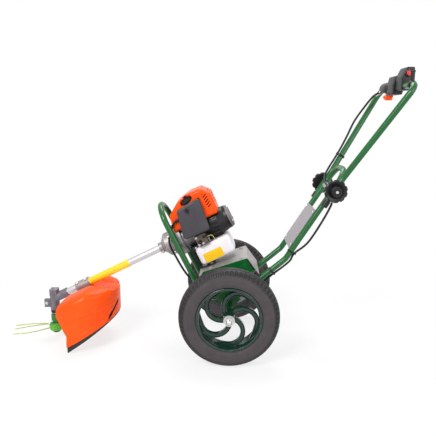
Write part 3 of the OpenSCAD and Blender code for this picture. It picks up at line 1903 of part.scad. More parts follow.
// Hand-set points of the lower cable: below the pivot as on the handle, past the base and beside the engine
lower_drop = [[0, -4, 0], [-20, -44, -10], [-52, -82, -26]];
lower_slack = [[297, -84, 430]];
lower_base = [[60, -58, 211], [-60, -58, 205], [-149, -60, 274], [-204, -66, 365]];
lower_engine = [[60, -74, 20], [82, -60, 50], [104, -66, 72], [131.9, -66, 78]];
lower_route = concat(
    [on_handle([0, cable_meet_y, 0])],
    [for (p = lower_drop) on_handle(p)],
    lower_slack,
    [
        on_upper_leg(tie_upper_s, tie_off),
        rear_bend + (cable_off + bend_rise) * bend_back - [0, leg_y, 0],
        on_lower_leg(tie_lower_s, tie_off)
    ],
    lower_base,
    [for (p = lower_engine) shaft_point(p[0], p[1], p[2])]
);

module upper_cable() {
    placed() color([0.06, 0.06, 0.06]) swept_cord(upper_route, cable_d);
}

module lower_cable() {
    placed() color([0.06, 0.06, 0.06]) swept_cord(lower_route, cable_d);
}

tie_t = 2;
tie_w = 6;
tie_slack = 0.9;

// A tie is a band around a leg and around the cable behind it
module cable_tie() {
    cable_place = [tie_off, 0];
    translate([0, 0, -tie_w / 2])
        linear_extrude(height = tie_w)
            difference() {
                union() {
                    circle(r = tube_r + tie_t);
                    translate(cable_place) circle(d = cable_d + 2 * tie_slack + 2 * tie_t);
                }
                circle(r = tube_r + fit);
                translate(cable_place) circle(d = cable_d + 2 * tie_slack);
            }
}

module cable_ties() {
    placed()
        color([0.05, 0.05, 0.05]) {
            aim(on_upper_leg(tie_upper_s, 0), handle_dir) cable_tie();
            aim(on_lower_leg(tie_lower_s, 0), lower_dir) cable_tie();
        }
}

front_hoop();
rear_hoop();
axle();
axle_carrier();
axle_nuts();
saddle_plate();
name_panel();
pivot_bolts();
engine_bracket();
lower_cable();
cable_ties();
clutch_housing();
fan_housing();
crankcase();
cylinder_block();
spark_plug();
engine_cover();
filter_base();
filter_cover();
filter_screw();
carburettor();
fuel_line();
primer_bulb();
choke_lever();
muffler();
starter_housing();
starter_cover();
starter_grip();
fuel_tank();
fuel_cap();
crankshaft();
flywheel();
clutch_shoes();
shaft_tube();
shaft_bushes();
guard_clamp();
gear_case();
guard();
guard_skirt();
line_cutter();
drive_shaft();
bevel_pinion();
clutch_drum();
output_shaft();
bevel_gear();
line_head();
bump_knob();
trimmer_lines();
left_tyre();
left_rim();
right_tyre();
right_rim();
handle_bar();
handle_caps();
left_knob();
right_knob();
throttle_housing();
throttle_trigger();
stop_switch();
upper_cable();
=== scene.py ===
import bpy
import numpy as np
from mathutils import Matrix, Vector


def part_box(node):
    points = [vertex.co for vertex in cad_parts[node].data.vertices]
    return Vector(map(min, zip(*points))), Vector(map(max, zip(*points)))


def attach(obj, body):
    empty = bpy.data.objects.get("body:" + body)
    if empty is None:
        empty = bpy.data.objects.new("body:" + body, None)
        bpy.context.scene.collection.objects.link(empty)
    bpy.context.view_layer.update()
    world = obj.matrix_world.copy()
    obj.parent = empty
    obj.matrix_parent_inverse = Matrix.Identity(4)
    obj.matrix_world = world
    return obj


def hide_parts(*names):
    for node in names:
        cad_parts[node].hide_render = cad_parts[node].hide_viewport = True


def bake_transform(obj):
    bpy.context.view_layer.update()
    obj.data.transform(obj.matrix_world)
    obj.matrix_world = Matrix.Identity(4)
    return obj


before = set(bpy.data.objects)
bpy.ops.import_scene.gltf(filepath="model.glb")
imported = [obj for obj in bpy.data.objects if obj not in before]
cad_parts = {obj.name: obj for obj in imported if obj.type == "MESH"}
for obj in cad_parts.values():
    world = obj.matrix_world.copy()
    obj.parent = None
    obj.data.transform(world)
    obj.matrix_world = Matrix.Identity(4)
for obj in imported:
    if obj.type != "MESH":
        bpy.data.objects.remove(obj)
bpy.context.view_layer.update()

# The camera stands at the photographer's place: level with the handle, square to the side of the machine,
# tilted a little down. Its lens is set for a square picture.
camera = bpy.data.objects.new("camera", bpy.data.cameras.new("camera"))
camera.data.sensor_width = 36.0
camera.data.lens = 40.4
camera.location = (0.10279, -1.84259, 0.86363)
camera.rotation_euler = np.radians((78.69, 0.0, 1.09))
bpy.context.scene.collection.objects.link(camera)
bpy.context.scene.camera = camera
bpy.context.scene.view_settings.view_transform = "Standard"

# The throttle cable: a steel wire in a black plastic sleeve, held at the throttle and at the engine. It runs
# down the far handle tube, through the pivot's axis, past the near leg and up beside the carburettor.
mm = 0.001
axle_low, axle_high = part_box("axle")
axle_x = (axle_low.x + axle_high.x) / 2
side_way = np.array([0.0, 1.0, 0.0])


def slope_ways(slope):
    """Two unit directions in the machine's middle plane: up a slope, and square to it on its upper side."""
    return np.array([np.cos(slope), 0.0, np.sin(slope)]), np.array([-np.sin(slope), 0.0, np.cos(slope)])


handle_way, handle_front = slope_ways(np.radians(57.5))
pivot = np.array([374.951, 0.0, 616.921])
crossbar = np.array([605.990, 0.0, 979.579])
shaft_slope = np.radians(26.0)
shaft_way, shaft_up = slope_ways(shaft_slope)
clutch_face = np.array([-269.0, 0.0, 375.0])


def in_place(points):
    """Millimetres measured from the ground under the axle, as metres in the part's frame."""
    return np.asarray(points, float) * mm + np.array([axle_x, 0.0, 0.0])


def laid(points, origin, way, up):
    """Points given as distance along a line from its origin, to the side, and up across it."""
    points = np.asarray(points, float)
    return origin + points[..., :1] * way + points[..., 1:2] * side_way + points[..., 2:3] * up


def on_handle(points):
    """Points given as distance along the handle from its pivot, to the side, and in front of it."""
    return laid(points, pivot, handle_way, handle_front)


def on_shaft(points):
    """Points given as distance along the shaft from the clutch's face, to the side, and up across it."""
    return laid(points, clutch_face, shaft_way, shaft_up)


def unit(ways):
    """Directions of length one."""
    ways = np.asarray(ways, float)
    return ways / np.linalg.norm(ways, axis=-1, keepdims=True)


def full_turn(steps):
    """Equal steps of angle round a circle, without the last one, which is the first again."""
    return np.linspace(0, 2 * np.pi, steps, endpoint=False)


def smooth_path(points, steps):
    """A cubic through the points: at each point the slope is half the step between its two neighbours."""
    points = np.asarray(points, float)
    ends = np.vstack([points[:1], points, points[-1:]])
    a, b, c, d = ends[:-3, None], ends[1:-2, None], ends[2:-1, None], ends[3:, None]
    t = (np.arange(steps) / steps)[None, :, None]
    curve = (2 * b + (c - a) * t + (2 * a - 5 * b + 4 * c - d) * t**2 + (3 * b - a - 3 * c + d) * t**3) / 2
    return np.vstack([curve.reshape(-1, 3), points[-1:]])


def lattice(points, around=False, along=False, caps=False):
    """Quads over a grid of points: around joins the last column to the first, along joins the last row to
    the first, and caps closes the first and the last row with one flat face each."""
    rows, columns = points.shape[:2]
    mark = np.arange(rows * columns).reshape(rows, columns)
    ends = [mark[:1, ::-1], mark[-1:]] if caps else []
    mark = np.hstack([mark, mark[:, :1]]) if around else mark
    mark = np.vstack([mark, mark[:1]]) if along else mark
    quads = np.stack([mark[:-1, :-1], mark[:-1, 1:], mark[1:, 1:], mark[1:, :-1]], -1).reshape(-1, 4)
    return points.reshape(-1, 3), [quads] + ends


def together(forms):
    """Several forms as one: each form's faces count on from the points of those before it."""
    starts = np.cumsum([0] + [len(points) for points, _ in forms])
    faces = [face + start for (_, groups), start in zip(forms, starts) for face in groups]
    return np.vstack([points for points, _ in forms]), faces


def outward(form):
    """A closed form with its faces turned outwards, by the sign of the volume that the faces enclose."""
    points, faces = form
    volume = sum(
        np.einsum("ij,ikj->", points[face[:, 0]], np.cross(points[face[:, 1:-1]], points[face[:, 2:]]))
        for face in faces
    )
    return points, [face[:, ::-1] for face in faces] if volume < 0 else faces


def ringed(centres, radii, first, second, sides):
    """A solid with flat ends: round each centre a ring of its radius, in the plane of two ways."""
    turn = full_turn(sides)[None, :, None]
    points = centres[:, None] + radii[:, None, None] * (np.cos(turn) * first + np.sin(turn) * second)
    return outward(lattice(points, around=True, caps=True))


def carried(path, radius, sides, lean=(0.35, 0.45, 0.82)):
    """A round bar: rings of one radius carried along a path, square to it and led by a fixed lean."""
    way = unit(np.gradient(path, axis=0))
    first = unit(np.cross(way, lean))
    return ringed(path, np.full(len(path), radius), first[:, None], np.cross(way, first)[:, None], sides)


def turned(profile, centre, way, sides):
    """A solid of revolution: a profile of distance and radius, turned about a line through the centre."""
    profile = np.asarray(profile, float)
    way = unit(way)
    first = unit(np.cross(way, [0.31, 0.87, 0.38]))
    centres = np.asarray(centre, float) + profile[:, :1] * way
    return ringed(centres, profile[:, 1], first, np.cross(way, first), sides)


class Field:
    """A shader socket that can stand in a sum: each operator on values adds one Math node."""

    def __init__(self, tree, socket=None):
        self.tree, self.socket = tree, socket

    def node(self, kind, settings, inputs, out=0):
        """One node of a kind: its settings are set first, then the values or links of its sockets."""
        made = self.tree.nodes.new(kind)
        for key, value in settings.items():
            setattr(made, key, value)
        for key, value in inputs.items():
            if isinstance(value, Field):
                self.tree.links.new(value.socket, made.inputs[key])
            else:
                made.inputs[key].default_value = value
        return Field(self.tree, made.outputs[out])

    def math(self, operation, first, second):
        return self.node("ShaderNodeMath", {"operation": operation}, {0: first, 1: second})

    def __add__(self, other):
        return self.math("ADD", self, other)

    __radd__ = __add__

    def __sub__(self, other):
        return self.math("SUBTRACT", self, other)

    def __rsub__(self, other):
        return self.math("SUBTRACT", other, self)

    def __mul__(self, other):
        return self.math("MULTIPLY", self, other)

    __rmul__ = __mul__

    def step(self, low, high):
        """A smooth step from 0 at low to 1 at high."""
        settings = {"interpolation_type": "SMOOTHSTEP"}
        return self.node("ShaderNodeMapRange", settings, {"Value": self, "From Min": low, "From Max": high})

    def noise(self, scale, detail=2.0, stretch=None, turn=(0.0, 0.0, 0.0)):
        """Cloudy values from 0 to 1 over a place, stretched along one direction where stretch is given."""
        place = self
        if stretch:
            place = self.node("ShaderNodeMapping", {}, {"Vector": self, "Rotation": turn})
            place = self.node("ShaderNodeVectorMath", {"operation": "MULTIPLY"}, {0: place, 1: stretch})
        return self.node("ShaderNodeTexNoise", {}, {"Vector": place, "Scale": scale, "Detail": detail})

    def tint(self, first, second):
        """A colour between two others, by this value."""
        return self.node("ShaderNodeMix", {"data_type": "RGBA"}, {0: self, 6: first, 7: second}, out=2)


def paint(red, green, blue):
    """A screen colour of 0 to 255 as the linear light that the shader takes."""
    screen = np.array([red, green, blue]) / 255
    light = np.where(screen <= 0.04045, screen / 12.92, ((screen + 0.055) / 1.055) ** 2.4)
    return (*light.tolist(), 1.0)


def finish(name, look, sockets):
    """A material: even properties are set on the shader's sockets, and look gives what varies over a place.
    Relief is a height in metres."""
    made = bpy.data.materials.new(name)
    made.use_nodes = True
    tree = made.node_tree
    shader = tree.nodes["Principled BSDF"]
    for key, value in sockets.items():
        shader.inputs[key].default_value = value
    place = Field(tree).node("ShaderNodeTexCoord", {}, {}, out="Object")
    for key, value in look(place).items():
        if key == "Relief":
            key, value = "Normal", value.node("ShaderNodeBump", {}, {"Height": value, "Distance": 1.0})
        tree.links.new(value.socket, shader.inputs[key])
    return made


def two_tone(name, first, second, sockets, cloud, rough, grain=None, fine=False, relief=0.0, brush=(),
             over=None, third=None, dusty=False):
    """A material of two screen colours mixed by a cloud, which has a scale, a detail and, where it is a
    step, two limits. Roughness is a base and a part that follows the cloud, or the grain where fine is set.
    The grain has a scale, a detail and a height in metres. Without it, relief is the cloud's own height.
    brush is how the finer of the two is stretched and turned. A third colour lies over both where over
    finds it at a place, and where dusty is set, roughness follows that."""

    def look(place):
        patch = place.noise(*cloud[:2], *(() if grain else brush))
        if len(cloud) > 2:
            patch = patch.step(*cloud[2:])
        speck = place.noise(*grain[:2], *brush) if grain else patch
        height = grain[2] if grain else relief
        colour = patch.tint(paint(*first), paint(*second))
        layer = over(place) if over else None
        found = {
            "Base Color": layer.tint(colour, paint(*third)) if over else colour,
            "Roughness": rough[0] + rough[1] * (layer if dusty else speck if fine else patch),
        }
        return {**found, "Relief": speck * height} if height else found

    return finish(name, look, sockets)


def piece(name, form, body, material, replaced=(), crease=40.0, tone=None):
    """A finished piece at its place: smooth faces, sharp where they meet at more than the crease, riding on
    a body. Its slot holds the material. tone is one value for each point, for the material to read."""
    points, faces = form
    mesh = bpy.data.meshes.new(name)
    mesh.from_pydata(in_place(points).tolist(), [], [face for group in faces for face in group.tolist()])
    mesh.polygons.foreach_set("use_smooth", np.ones(len(mesh.polygons), bool))
    mesh.set_sharp_from_angle(angle=np.radians(crease))
    if tone is not None:
        values = np.asarray(tone, np.float32).ravel()
        mesh.attributes.new("tone", "FLOAT", "POINT").data.foreach_set("value", values)
    mesh.update()
    made = bpy.data.objects.new(name, mesh)
    bpy.context.scene.collection.objects.link(made)
    mesh.materials.append(material)
    if body:
        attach(made, body)
    if replaced:
        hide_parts(*replaced)
    return made


def dress(material, *nodes):
    """Gives a material to CAD nodes that are shown as they are."""
    for node in nodes:
        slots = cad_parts[node].data.materials
        slots.clear()
        slots.append(material)


foot_y, foot_l, tube_spread = 105, 55, 0.24


def far_tube_y(s):
    """How far to the side the handle's far tube stands, at a distance along the handle from its pivot."""
    return foot_y + tube_spread * (s - foot_l)


cable_black = two_tone(
    "cable_black", (20, 19, 21), (40, 38, 40), {"Specular IOR Level": 0.3},
    cloud=(90.0, 4.0, 0.45, 0.8), rough=(0.38, 0.2), grain=(700.0, 1.0, 0.00004),
)
cable_r = 4.0
rear_bend = np.array([210.0, 0.0, 358.0])
leg_way, leg_front = slope_ways(np.radians(40.3))
leg_back = -leg_front
near_leg = -80.0 * side_way
exit_way = -slope_ways(np.radians(26.6))[0]
exit_side = 116.0 * side_way
bend_back = unit(leg_back - handle_front)
upper_route = np.vstack([
    crossbar + 26.4 * exit_way + exit_side,
    crossbar + 56.0 * exit_way + exit_side,
    on_handle([[s, far_tube_y(s), front] for s, front in ((330, 23), (270, 27), (205, 21), (150, 17.5))]),
    on_handle([[100, 114, 17.5], [66, 108, 17.8], [36, 91, 18.2]]),
    on_handle([[18, 71.5, 15.8], [6, 48, 7.5], [1, 28, 1.2]]),
])
lower_route = np.vstack([
    on_handle([[0, 12, 0], [0, -4, 0], [-20, -44, -10], [-52, -82, -26]]),
    [[297, -84, 430]],
    rear_bend + 34 * handle_way - 16.2 * handle_front + near_leg,
    rear_bend + 17.4 * bend_back + near_leg,
    rear_bend - 70 * leg_way + 16.2 * leg_back + near_leg,
    [[60, -58, 211], [-60, -58, 205], [-149, -60, 274], [-204, -66, 365]],
    on_shaft([[60, -74, 20], [82, -60, 50], [104, -66, 72], [131.9, -66, 78]]),
])
cable_path = smooth_path(np.vstack([upper_route, lower_route]), 10)
cable = piece(
    "throttle_cable", carried(cable_path, cable_r, 14), None, cable_black,
    ("upper_cable", "lower_cable"),
)
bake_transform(cable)

# The cable's ends and ties: a bright steel ferrule at the throttle and a black one at the engine, both
# crimped on. Black nylon ties hold the cable to the near leg and to the handle's far tube.
bright_steel = two_tone(
    "bright_steel", (214, 212, 210), (214, 212, 210), {"Metallic": 1.0},
    cloud=(420.0, 3.0), rough=(0.16, 0.22), relief=0.00001,
)
ferrule = [[0, 4.3], [2, 5.4], [14, 5.4], [16, 4.6], [22, 4.3]]
upper_end = crossbar + 25.4 * exit_way + exit_side
lower_end, lower_way = cable_path[-1], cable_path[-4] - cable_path[-1]
piece("upper_ferrule", turned(ferrule, upper_end, exit_way, 24), "handle", bright_steel)
piece("lower_ferrule", turned(ferrule, lower_end, lower_way, 24), "frame", cable_black)
black_plastic = two_tone(
    "black_plastic", (19, 18, 20), (36, 34, 36), {"Specular IOR Level": 0.35},
    cloud=(25.0, 5.0, 0.5, 0.85), rough=(0.36, 0.16), grain=(1400.0, 2.0, 0.00003),
)
dress(
    black_plastic, "cable_ties", "handle_caps", "left_knob", "right_knob", "fuel_cap", "filter_screw",
    "primer_bulb", "choke_lever", "starter_grip", "bump_knob", "filter_base", "starter_housing",
)
tie_s, tie_front, tie_half_l, tie_half_w, tie_half_h, tie_inside = 128.0, 3.6, 4.0, 14.4, 18.6, 0.9
tie_turn = full_turn(40)
tie_loop = np.column_stack([0 * tie_turn, tie_half_w * np.sin(tie_turn), tie_half_h * np.cos(tie_turn)])
tie_rings = [
    (tie_loop + [side * tie_half_l, 0, 0]) * share + [tie_s, far_tube_y(tie_s), tie_front]
    for side, share in ((-1, 1), (1, 1), (1, tie_inside), (-1, tie_inside))
]
tie_band = np.stack([on_handle(ring) for ring in tie_rings])
piece("handle_tie", outward(lattice(tie_band, True, True)), "handle", black_plastic)

# The studio: a pale floor, a white world and three soft lamps. The camera and reflections see plain white,
# and the floor keeps a soft shadow.
white = (1.0, 1.0, 1.0, 1.0)


def shown_white(tree, plain, glow_kind, output, share):
    """Rays that show the background itself, those of the camera, of a gloss and of a clear piece, see a
    share of even white in place of the plain light."""
    field = Field(tree)
    rays = [
        field.node("ShaderNodeLightPath", {}, {}, out=name)
        for name in ("Is Camera Ray", "Is Glossy Ray", "Is Transmission Ray")
    ]
    seen = (rays[0] + rays[1] + rays[2]) * share
    glow = field.node(glow_kind, {}, {"Color": white, "Strength": 1.0})
    lit = Field(tree, tree.nodes[plain].outputs[0])
    mixed = field.node("ShaderNodeMixShader", {}, {0: seen, 1: lit, 2: glow})
    tree.links.new(mixed.socket, tree.nodes[output].inputs["Surface"])


floor_half, floor_z = 6000.0, -0.2
floor_paint = finish(
    "floor_white", lambda place: {},
    {"Base Color": (0.9, 0.9, 0.9, 1.0), "Roughness": 0.9, "Specular IOR Level": 0.0},
)
spot = Field(floor_paint.node_tree).node("ShaderNodeTexCoord", {}, {}, out="Object")
reach = spot.node("ShaderNodeVectorMath", {"operation": "LENGTH"}, {0: spot}, out="Value")
floor_share = 0.74 + 0.26 * reach.step(0.7, 1.5)
shown_white(floor_paint.node_tree, "Principled BSDF", "ShaderNodeEmission", "Material Output", floor_share)
floor_mesh = bpy.data.meshes.new("floor")
floor_points, floor_faces = lattice(np.array([
    [[x, y, floor_z] for x in (-floor_half, floor_half)] for y in (-floor_half, floor_half)
]))
floor_mesh.from_pydata(in_place(floor_points).tolist(), [], floor_faces[0].tolist())
floor_mesh.materials.append(floor_paint)
floor = bpy.data.objects.new("floor", floor_mesh)
bpy.context.scene.collection.objects.link(floor)

world = bpy.data.worlds.new("studio")
bpy.context.scene.world = world
world.use_nodes = True
sky = world.node_tree.nodes["Background"]
sky.inputs["Color"].default_value = white
sky.inputs["Strength"].default_value = 0.4
shown_white(world.node_tree, "Background", "ShaderNodeBackground", "World Output", 1.0)
for lamp_name, lamp_place, lamp_aim, lamp_size, lamp_power in (
    ("key_lamp", (-1.3, -2.2, 2.4), (0.0, 0.0, 0.4), 1.2, 74.0),
    ("fill_lamp", (1.9, -2.0, 1.5), (0.1, 0.0, 0.4), 1.5, 24.0),
    ("top_lamp", (0.2, 1.0, 2.9), (0.0, 0.0, 0.3), 1.6, 48.0),
):
    lamp_data = bpy.data.lights.new(lamp_name, "AREA")
    lamp_data.size = lamp_size
    lamp_data.energy = lamp_power
    lamp = bpy.data.objects.new(lamp_name, lamp_data)
    lamp.location = lamp_place
    aim = np.array(lamp_aim) - np.array(lamp_place)
    lamp.rotation_euler = (
        np.arctan2(np.hypot(aim[0], aim[1]), -aim[2]), 0.0, np.arctan2(aim[1], aim[0]) - np.pi / 2,
    )
    bpy.context.scene.collection.objects.link(lamp)

# The frame and the handle: two hoops and a handlebar of bent steel tube, and the axle carrier with its two
# cheek plates, welded and painted in glossy green. Weld beads ring the joint of the rails.
green_paint = two_tone(
    "green_paint", (8, 78, 30), (18, 100, 44),
    {"Specular IOR Level": 0.4, "Coat Weight": 0.12, "Coat Roughness": 0.22},
    cloud=(9.0, 3.0), rough=(0.25, 0.03), grain=(260.0, 1.0, 0.000006),
    over=lambda place: place.noise(45.0, 6.0).step(0.56, 0.8), third=(34, 106, 56), dusty=True,
)
dress(green_paint, "axle_carrier")
tube_r, leg_y, rail_z = 11.0, 80.0, 205.1


def bent_path(points, radii):
    """Straight runs joined by arcs: at each inner point an arc of its radius touches both runs."""
    points = np.asarray(points, float)
    runs = unit(np.diff(points, axis=0))
    come, go = runs[:-1], runs[1:]
    bend = np.arccos(np.clip((come * go).sum(1), -1, 1))[:, None]
    square = unit(go - come * np.cos(bend))
    radius = np.asarray(radii, float)[:, None]
    start = points[1:-1] - come * radius * np.tan(bend / 2)
    turn = (bend * np.linspace(0, 1, 24))[..., None]
    radius = radius[..., None]
    arcs = start[:, None] + radius * ((1 - np.cos(turn)) * square[:, None] + np.sin(turn) * come[:, None])
    return np.vstack([points[:1], arcs.reshape(-1, 3), points[-1:]])


def both_sides(points):
    """A path on the near side carried on by its mirror image on the far side, back to where it began."""
    points = np.asarray(points, float)
    return np.vstack([points, points[::-1] * [1, -1, 1]])


rail_joint = [-30.0, -leg_y, rail_z]
hoop_u, hoop_top = 82.0, 150.0
foot_w = (rail_z - clutch_face[2] - hoop_u * shaft_way[2]) / shaft_up[2]
front_path = bent_path(
    both_sides([rail_joint, on_shaft([hoop_u, -leg_y, foot_w]), on_shaft([hoop_u, -leg_y, hoop_top])]),
    [50, 78, 78, 50],
)
rear_path = bent_path(
    both_sides([
        rail_joint, [29.6, -leg_y, rail_z], rear_bend + near_leg, pivot + 82 * handle_way + near_leg,
    ]),
    [60] * 6,
)
foot_side, bar_end = -foot_y * side_way, -195.0 * side_way
handle_path = bent_path(
    both_sides([
        pivot - 65 * handle_way + foot_side, pivot + foot_l * handle_way + foot_side, crossbar + bar_end,
    ]),
    [90, 32, 32, 90],
)
for tube, tube_path, body, node in (
    ("front_hoop_tube", front_path, "frame", "front_hoop"),
    ("rear_hoop_tube", rear_path, "frame", "rear_hoop"),
    ("handle_tube", handle_path, "handle", "handle_bar"),
):
    piece(tube, carried(tube_path, tube_r, 36), body, green_paint, (node,))
bead_turn = np.linspace(0, np.pi, 9)
bead = np.stack([4.5 * -np.cos(bead_turn), 10.9 + 1.5 * np.sin(bead_turn)], 1)
piece(
    "rail_welds",
    together([turned(bead, np.multiply(rail_joint, [1, side, 1]), [1, 0, 0], 40) for side in (1, -1)]),
    "frame", green_paint,
)

# The axle is a turned steel rod. Its domed nuts and washers and the pivot bolts are bright plated steel.
# The shafts and gears of the drive are turned steel too.
turned_steel = two_tone(
    "turned_steel", (186, 184, 182), (186, 184, 182), {"Metallic": 1.0},
    cloud=(60.0, 3.0), rough=(0.2, 0.25), relief=0.00001, brush=((1.0, 14.0, 1.0),),
)
dress(
    turned_steel, "axle", "crankshaft", "drive_shaft", "output_shaft", "bevel_gear", "bevel_pinion",
    "line_cutter",
)
dress(bright_steel, "axle_nuts", "pivot_bolts")

# The base: a bent saddle of zinc sheet between the cheeks, a black stepped bracket under the crankcase, both
# bolted down, and a bare silver panel riveted across the rear hoop.
def zinc_look(place):
    spangle = place.node("ShaderNodeTexVoronoi", {}, {"Vector": place, "Scale": 95.0}, out="Distance")
    smear = place.noise(30.0, 5.0)
    return {
        "Base Color": smear.tint(paint(150, 147, 147), paint(178, 174, 172)),
        "Roughness": 0.34 + 0.22 * spangle + 0.12 * smear,
        "Relief": spangle * 0.00005,
    }


zinc_sheet = finish("zinc_sheet", zinc_look, {"Metallic": 0.55})
dress(zinc_sheet, "saddle_plate")
saddle_slope, saddle_x, saddle_z = np.radians(18.5), 68.0, 363.0
saddle_up = slope_ways(saddle_slope)[1]


def on_saddle(x, y, lift=0.0):
    """A point on the saddle's sloping top, at a distance behind the axle and to the side."""
    return np.array([x, y, saddle_z - (saddle_x - x) * np.tan(saddle_slope)]) + lift * saddle_up


def bolts(name, places, way, head, washer_r=0.0, sides=6, body="frame", metal=bright_steel):
    """Bolt heads at several places, all pointing one way, as one piece: each a chamfered prism of a radius
    and a height, on a thin washer where that has a radius."""
    head_r, head_h = head
    prism = [[0, head_r], [head_h * 0.75, head_r], [head_h, head_r * 0.8]]
    forms = [turned(prism, place, way, sides) for place in places]
    if washer_r:
        disc = [[0, washer_r], [head_h * 0.3, washer_r], [head_h * 0.35, washer_r - 0.5]]
        forms += [turned(disc, place, way, 28) for place in places]
    piece(name, together(forms), body, metal, crease=25.0)


saddle_spots = [on_saddle(x, y) for x in (-70.0, 48.0) for y in (-72.0, 72.0)]
bolts("saddle_bolts", saddle_spots, saddle_up, (6.5, 5.0), 10.0, metal=zinc_sheet)
bracket_spots = [on_saddle(x, y, 5.0) for x in (-90.0, -66.0) for y in (-28.0, 28.0)]
bolts("bracket_bolts", bracket_spots, saddle_up, (6.0, 5.0), 9.0, metal=zinc_sheet)
panel_silver = two_tone(
    "panel_silver", (146, 140, 145), (166, 160, 164), {"Metallic": 0.35},
    cloud=(8.0, 3.0), rough=(0.36, 0.2), grain=(36.0, 3.0, 0.00002), fine=True, brush=((1.0, 40.0, 1.0),),
)
dress(panel_silver, "name_panel")
panel_start, panel_l, panel_face, rivet_y = 40.0, 172.0, 13.1, 70.0
panel_spots = [
    rear_bend + (panel_start + share * panel_l) * handle_way + panel_face * handle_front + side * side_way
    for share in (0.08, 0.92) for side in (-rivet_y, rivet_y)
]
dome_turn = np.linspace(0, np.pi / 2, 6)[:-1]
rivet_r, rivet_h = 4.0, 2.2
rivet_dome = np.column_stack([rivet_h * np.sin(dome_turn), rivet_r * np.cos(dome_turn)])
rivet = np.vstack([[[-0.5, rivet_r]], rivet_dome, [[rivet_h, 0.4]]])
rivets = [turned(rivet, spot, handle_front, 20) for spot in panel_spots]
piece("panel_rivets", together(rivets), "frame", bright_steel)
black_steel = two_tone(
    "black_steel", (30, 30, 31), (74, 72, 72), {"Metallic": 0.3},
    cloud=(30.0, 5.0, 0.6, 0.75), rough=(0.36, 0.2), grain=(260.0, 3.0, 0.00005), fine=True,
)
dress(black_steel, "engine_bracket", "clutch_drum", "flywheel")

# The tyres: moulded rubber with a smooth sidewall, a raised bead ring, ribbed shoulders and a blocked tread,
# seated on the rims' beads.
wheel_z = 180.0
half_track = 213.0
tyre_mid_r, tyre_half_h, tyre_half_w, tyre_power = 144.45, 35.55, 36.0, 0.8
lugs, lug_depth, groove_depth, groove_y, line_rise, bead_rise = 64, 3.2, 3.0, 9.0, 1.0, 1.3


def window(value, low, high, soft):
    """1 between two limits, falling to 0 over a soft edge inside each."""
    return np.clip((value - low) / soft, 0, 1) * np.clip((high - value) / soft, 0, 1)


def signed_power(value, power):
    """The size of a value to a power, with the value's own sign."""
    return np.sign(value) * np.abs(value) ** power


def tyre_form(side):
    """A ring whose section is a superellipse: sine and cosine to a power under one, so that it is squarer
    than an oval. Shoulder lugs, tread blocks and a bead ring move the skin in or out a little."""
    section = np.radians(np.linspace(-145, 145, 113))[:, None]
    turn = full_turn(lugs * 12)[None, :]
    out, across = signed_power(np.cos(section), tyre_power), signed_power(np.sin(section), tyre_power)
    place = np.degrees(np.abs(section))
    lean = np.sign(section) * 0.5 * np.pi
    pulse = np.clip(0.5 + 2.2 * np.sin(lugs * turn + lean), 0, 1)
    zigzag = 4.0 * np.abs(((lugs / 2 * turn / np.pi) % 2) - 1) - 2.0
    groove = sum(
        np.clip(1.6 - np.abs(tyre_half_w * across - middle - zigzag) / 2.2, 0, 1)
        for middle in (-groove_y, groove_y)
    )
    sink = lug_depth * window(place, 27, 66, 5) * pulse + groove_depth * groove * (place < 30)
    sink = sink - line_rise * window(place, 84, 92, 3) - bead_rise * window(place, 122, 136, 4)
    shrink = 1 - sink / tyre_half_h
    radius = tyre_mid_r + tyre_half_h * shrink * out
    y = side * half_track + tyre_half_w * shrink * across
    ring = np.stack([radius * np.cos(turn), y, wheel_z + radius * np.sin(turn)], -1)
    tone = np.broadcast_to(np.clip((74 - place) / 10, 0, 1), radius.shape)
    return outward(lattice(ring, around=True, along=True)), tone


def toned(place):
    """The tone that the mesh has at a place."""
    return place.node("ShaderNodeAttribute", {"attribute_name": "tone"}, {}, out="Fac")


tyre_rubber = two_tone(
    "tyre_rubber", (50, 45, 48), (74, 67, 70), {"Specular IOR Level": 0.4},
    cloud=(38.0, 5.0), rough=(0.42, 0.22), grain=(900.0, 2.0, 0.00003), over=toned, third=(30, 27, 29),
)
for side, wheel in ((-1, "left"), (1, "right")):
    tyre, tread_tone = tyre_form(side)
    piece(wheel + "_tyre_skin", tyre, wheel + "_wheel", tyre_rubber, (wheel + "_tyre",), 50.0, tread_tone)

# The rims: one casting each, with a stepped barrel, five swept spokes with raised edges, and a turned hub.
# They are painted a dark blue green, and a rubber valve stands in the barrel.
rim_barrel = np.array([
    [-34, 108], [-34, 115.6], [-33, 116.8], [-31, 116.8], [-29.5, 114.5], [-26, 113.6], [26, 113.6],
    [29.5, 114.5], [31, 116.8], [33, 116.8], [34, 115.6], [34, 110], [33, 108.6], [29, 108.2], [27.5, 106.6],
    [24, 106.2], [18, 105.2], [10, 106.8], [-29, 106.8], [-33, 107],
])
hub_shape = [[-33, 10], [-33, 19.5], [-31.5, 21], [31.5, 21], [33, 19.5], [33, 10]]
spoke_ring_r, spoke_half, spoke_set = 50.95, 8.5, 3.0


def wheel_point(local, side):
    """A point of the wheel's own frame, whose third axis points outwards along the axle."""
    local = np.asarray(local, float)
    flip = 1.0 if side < 0 else -1.0
    return np.stack([
        flip * local[..., 0], side * half_track + side * local[..., 2], wheel_z + local[..., 1],
    ], -1)


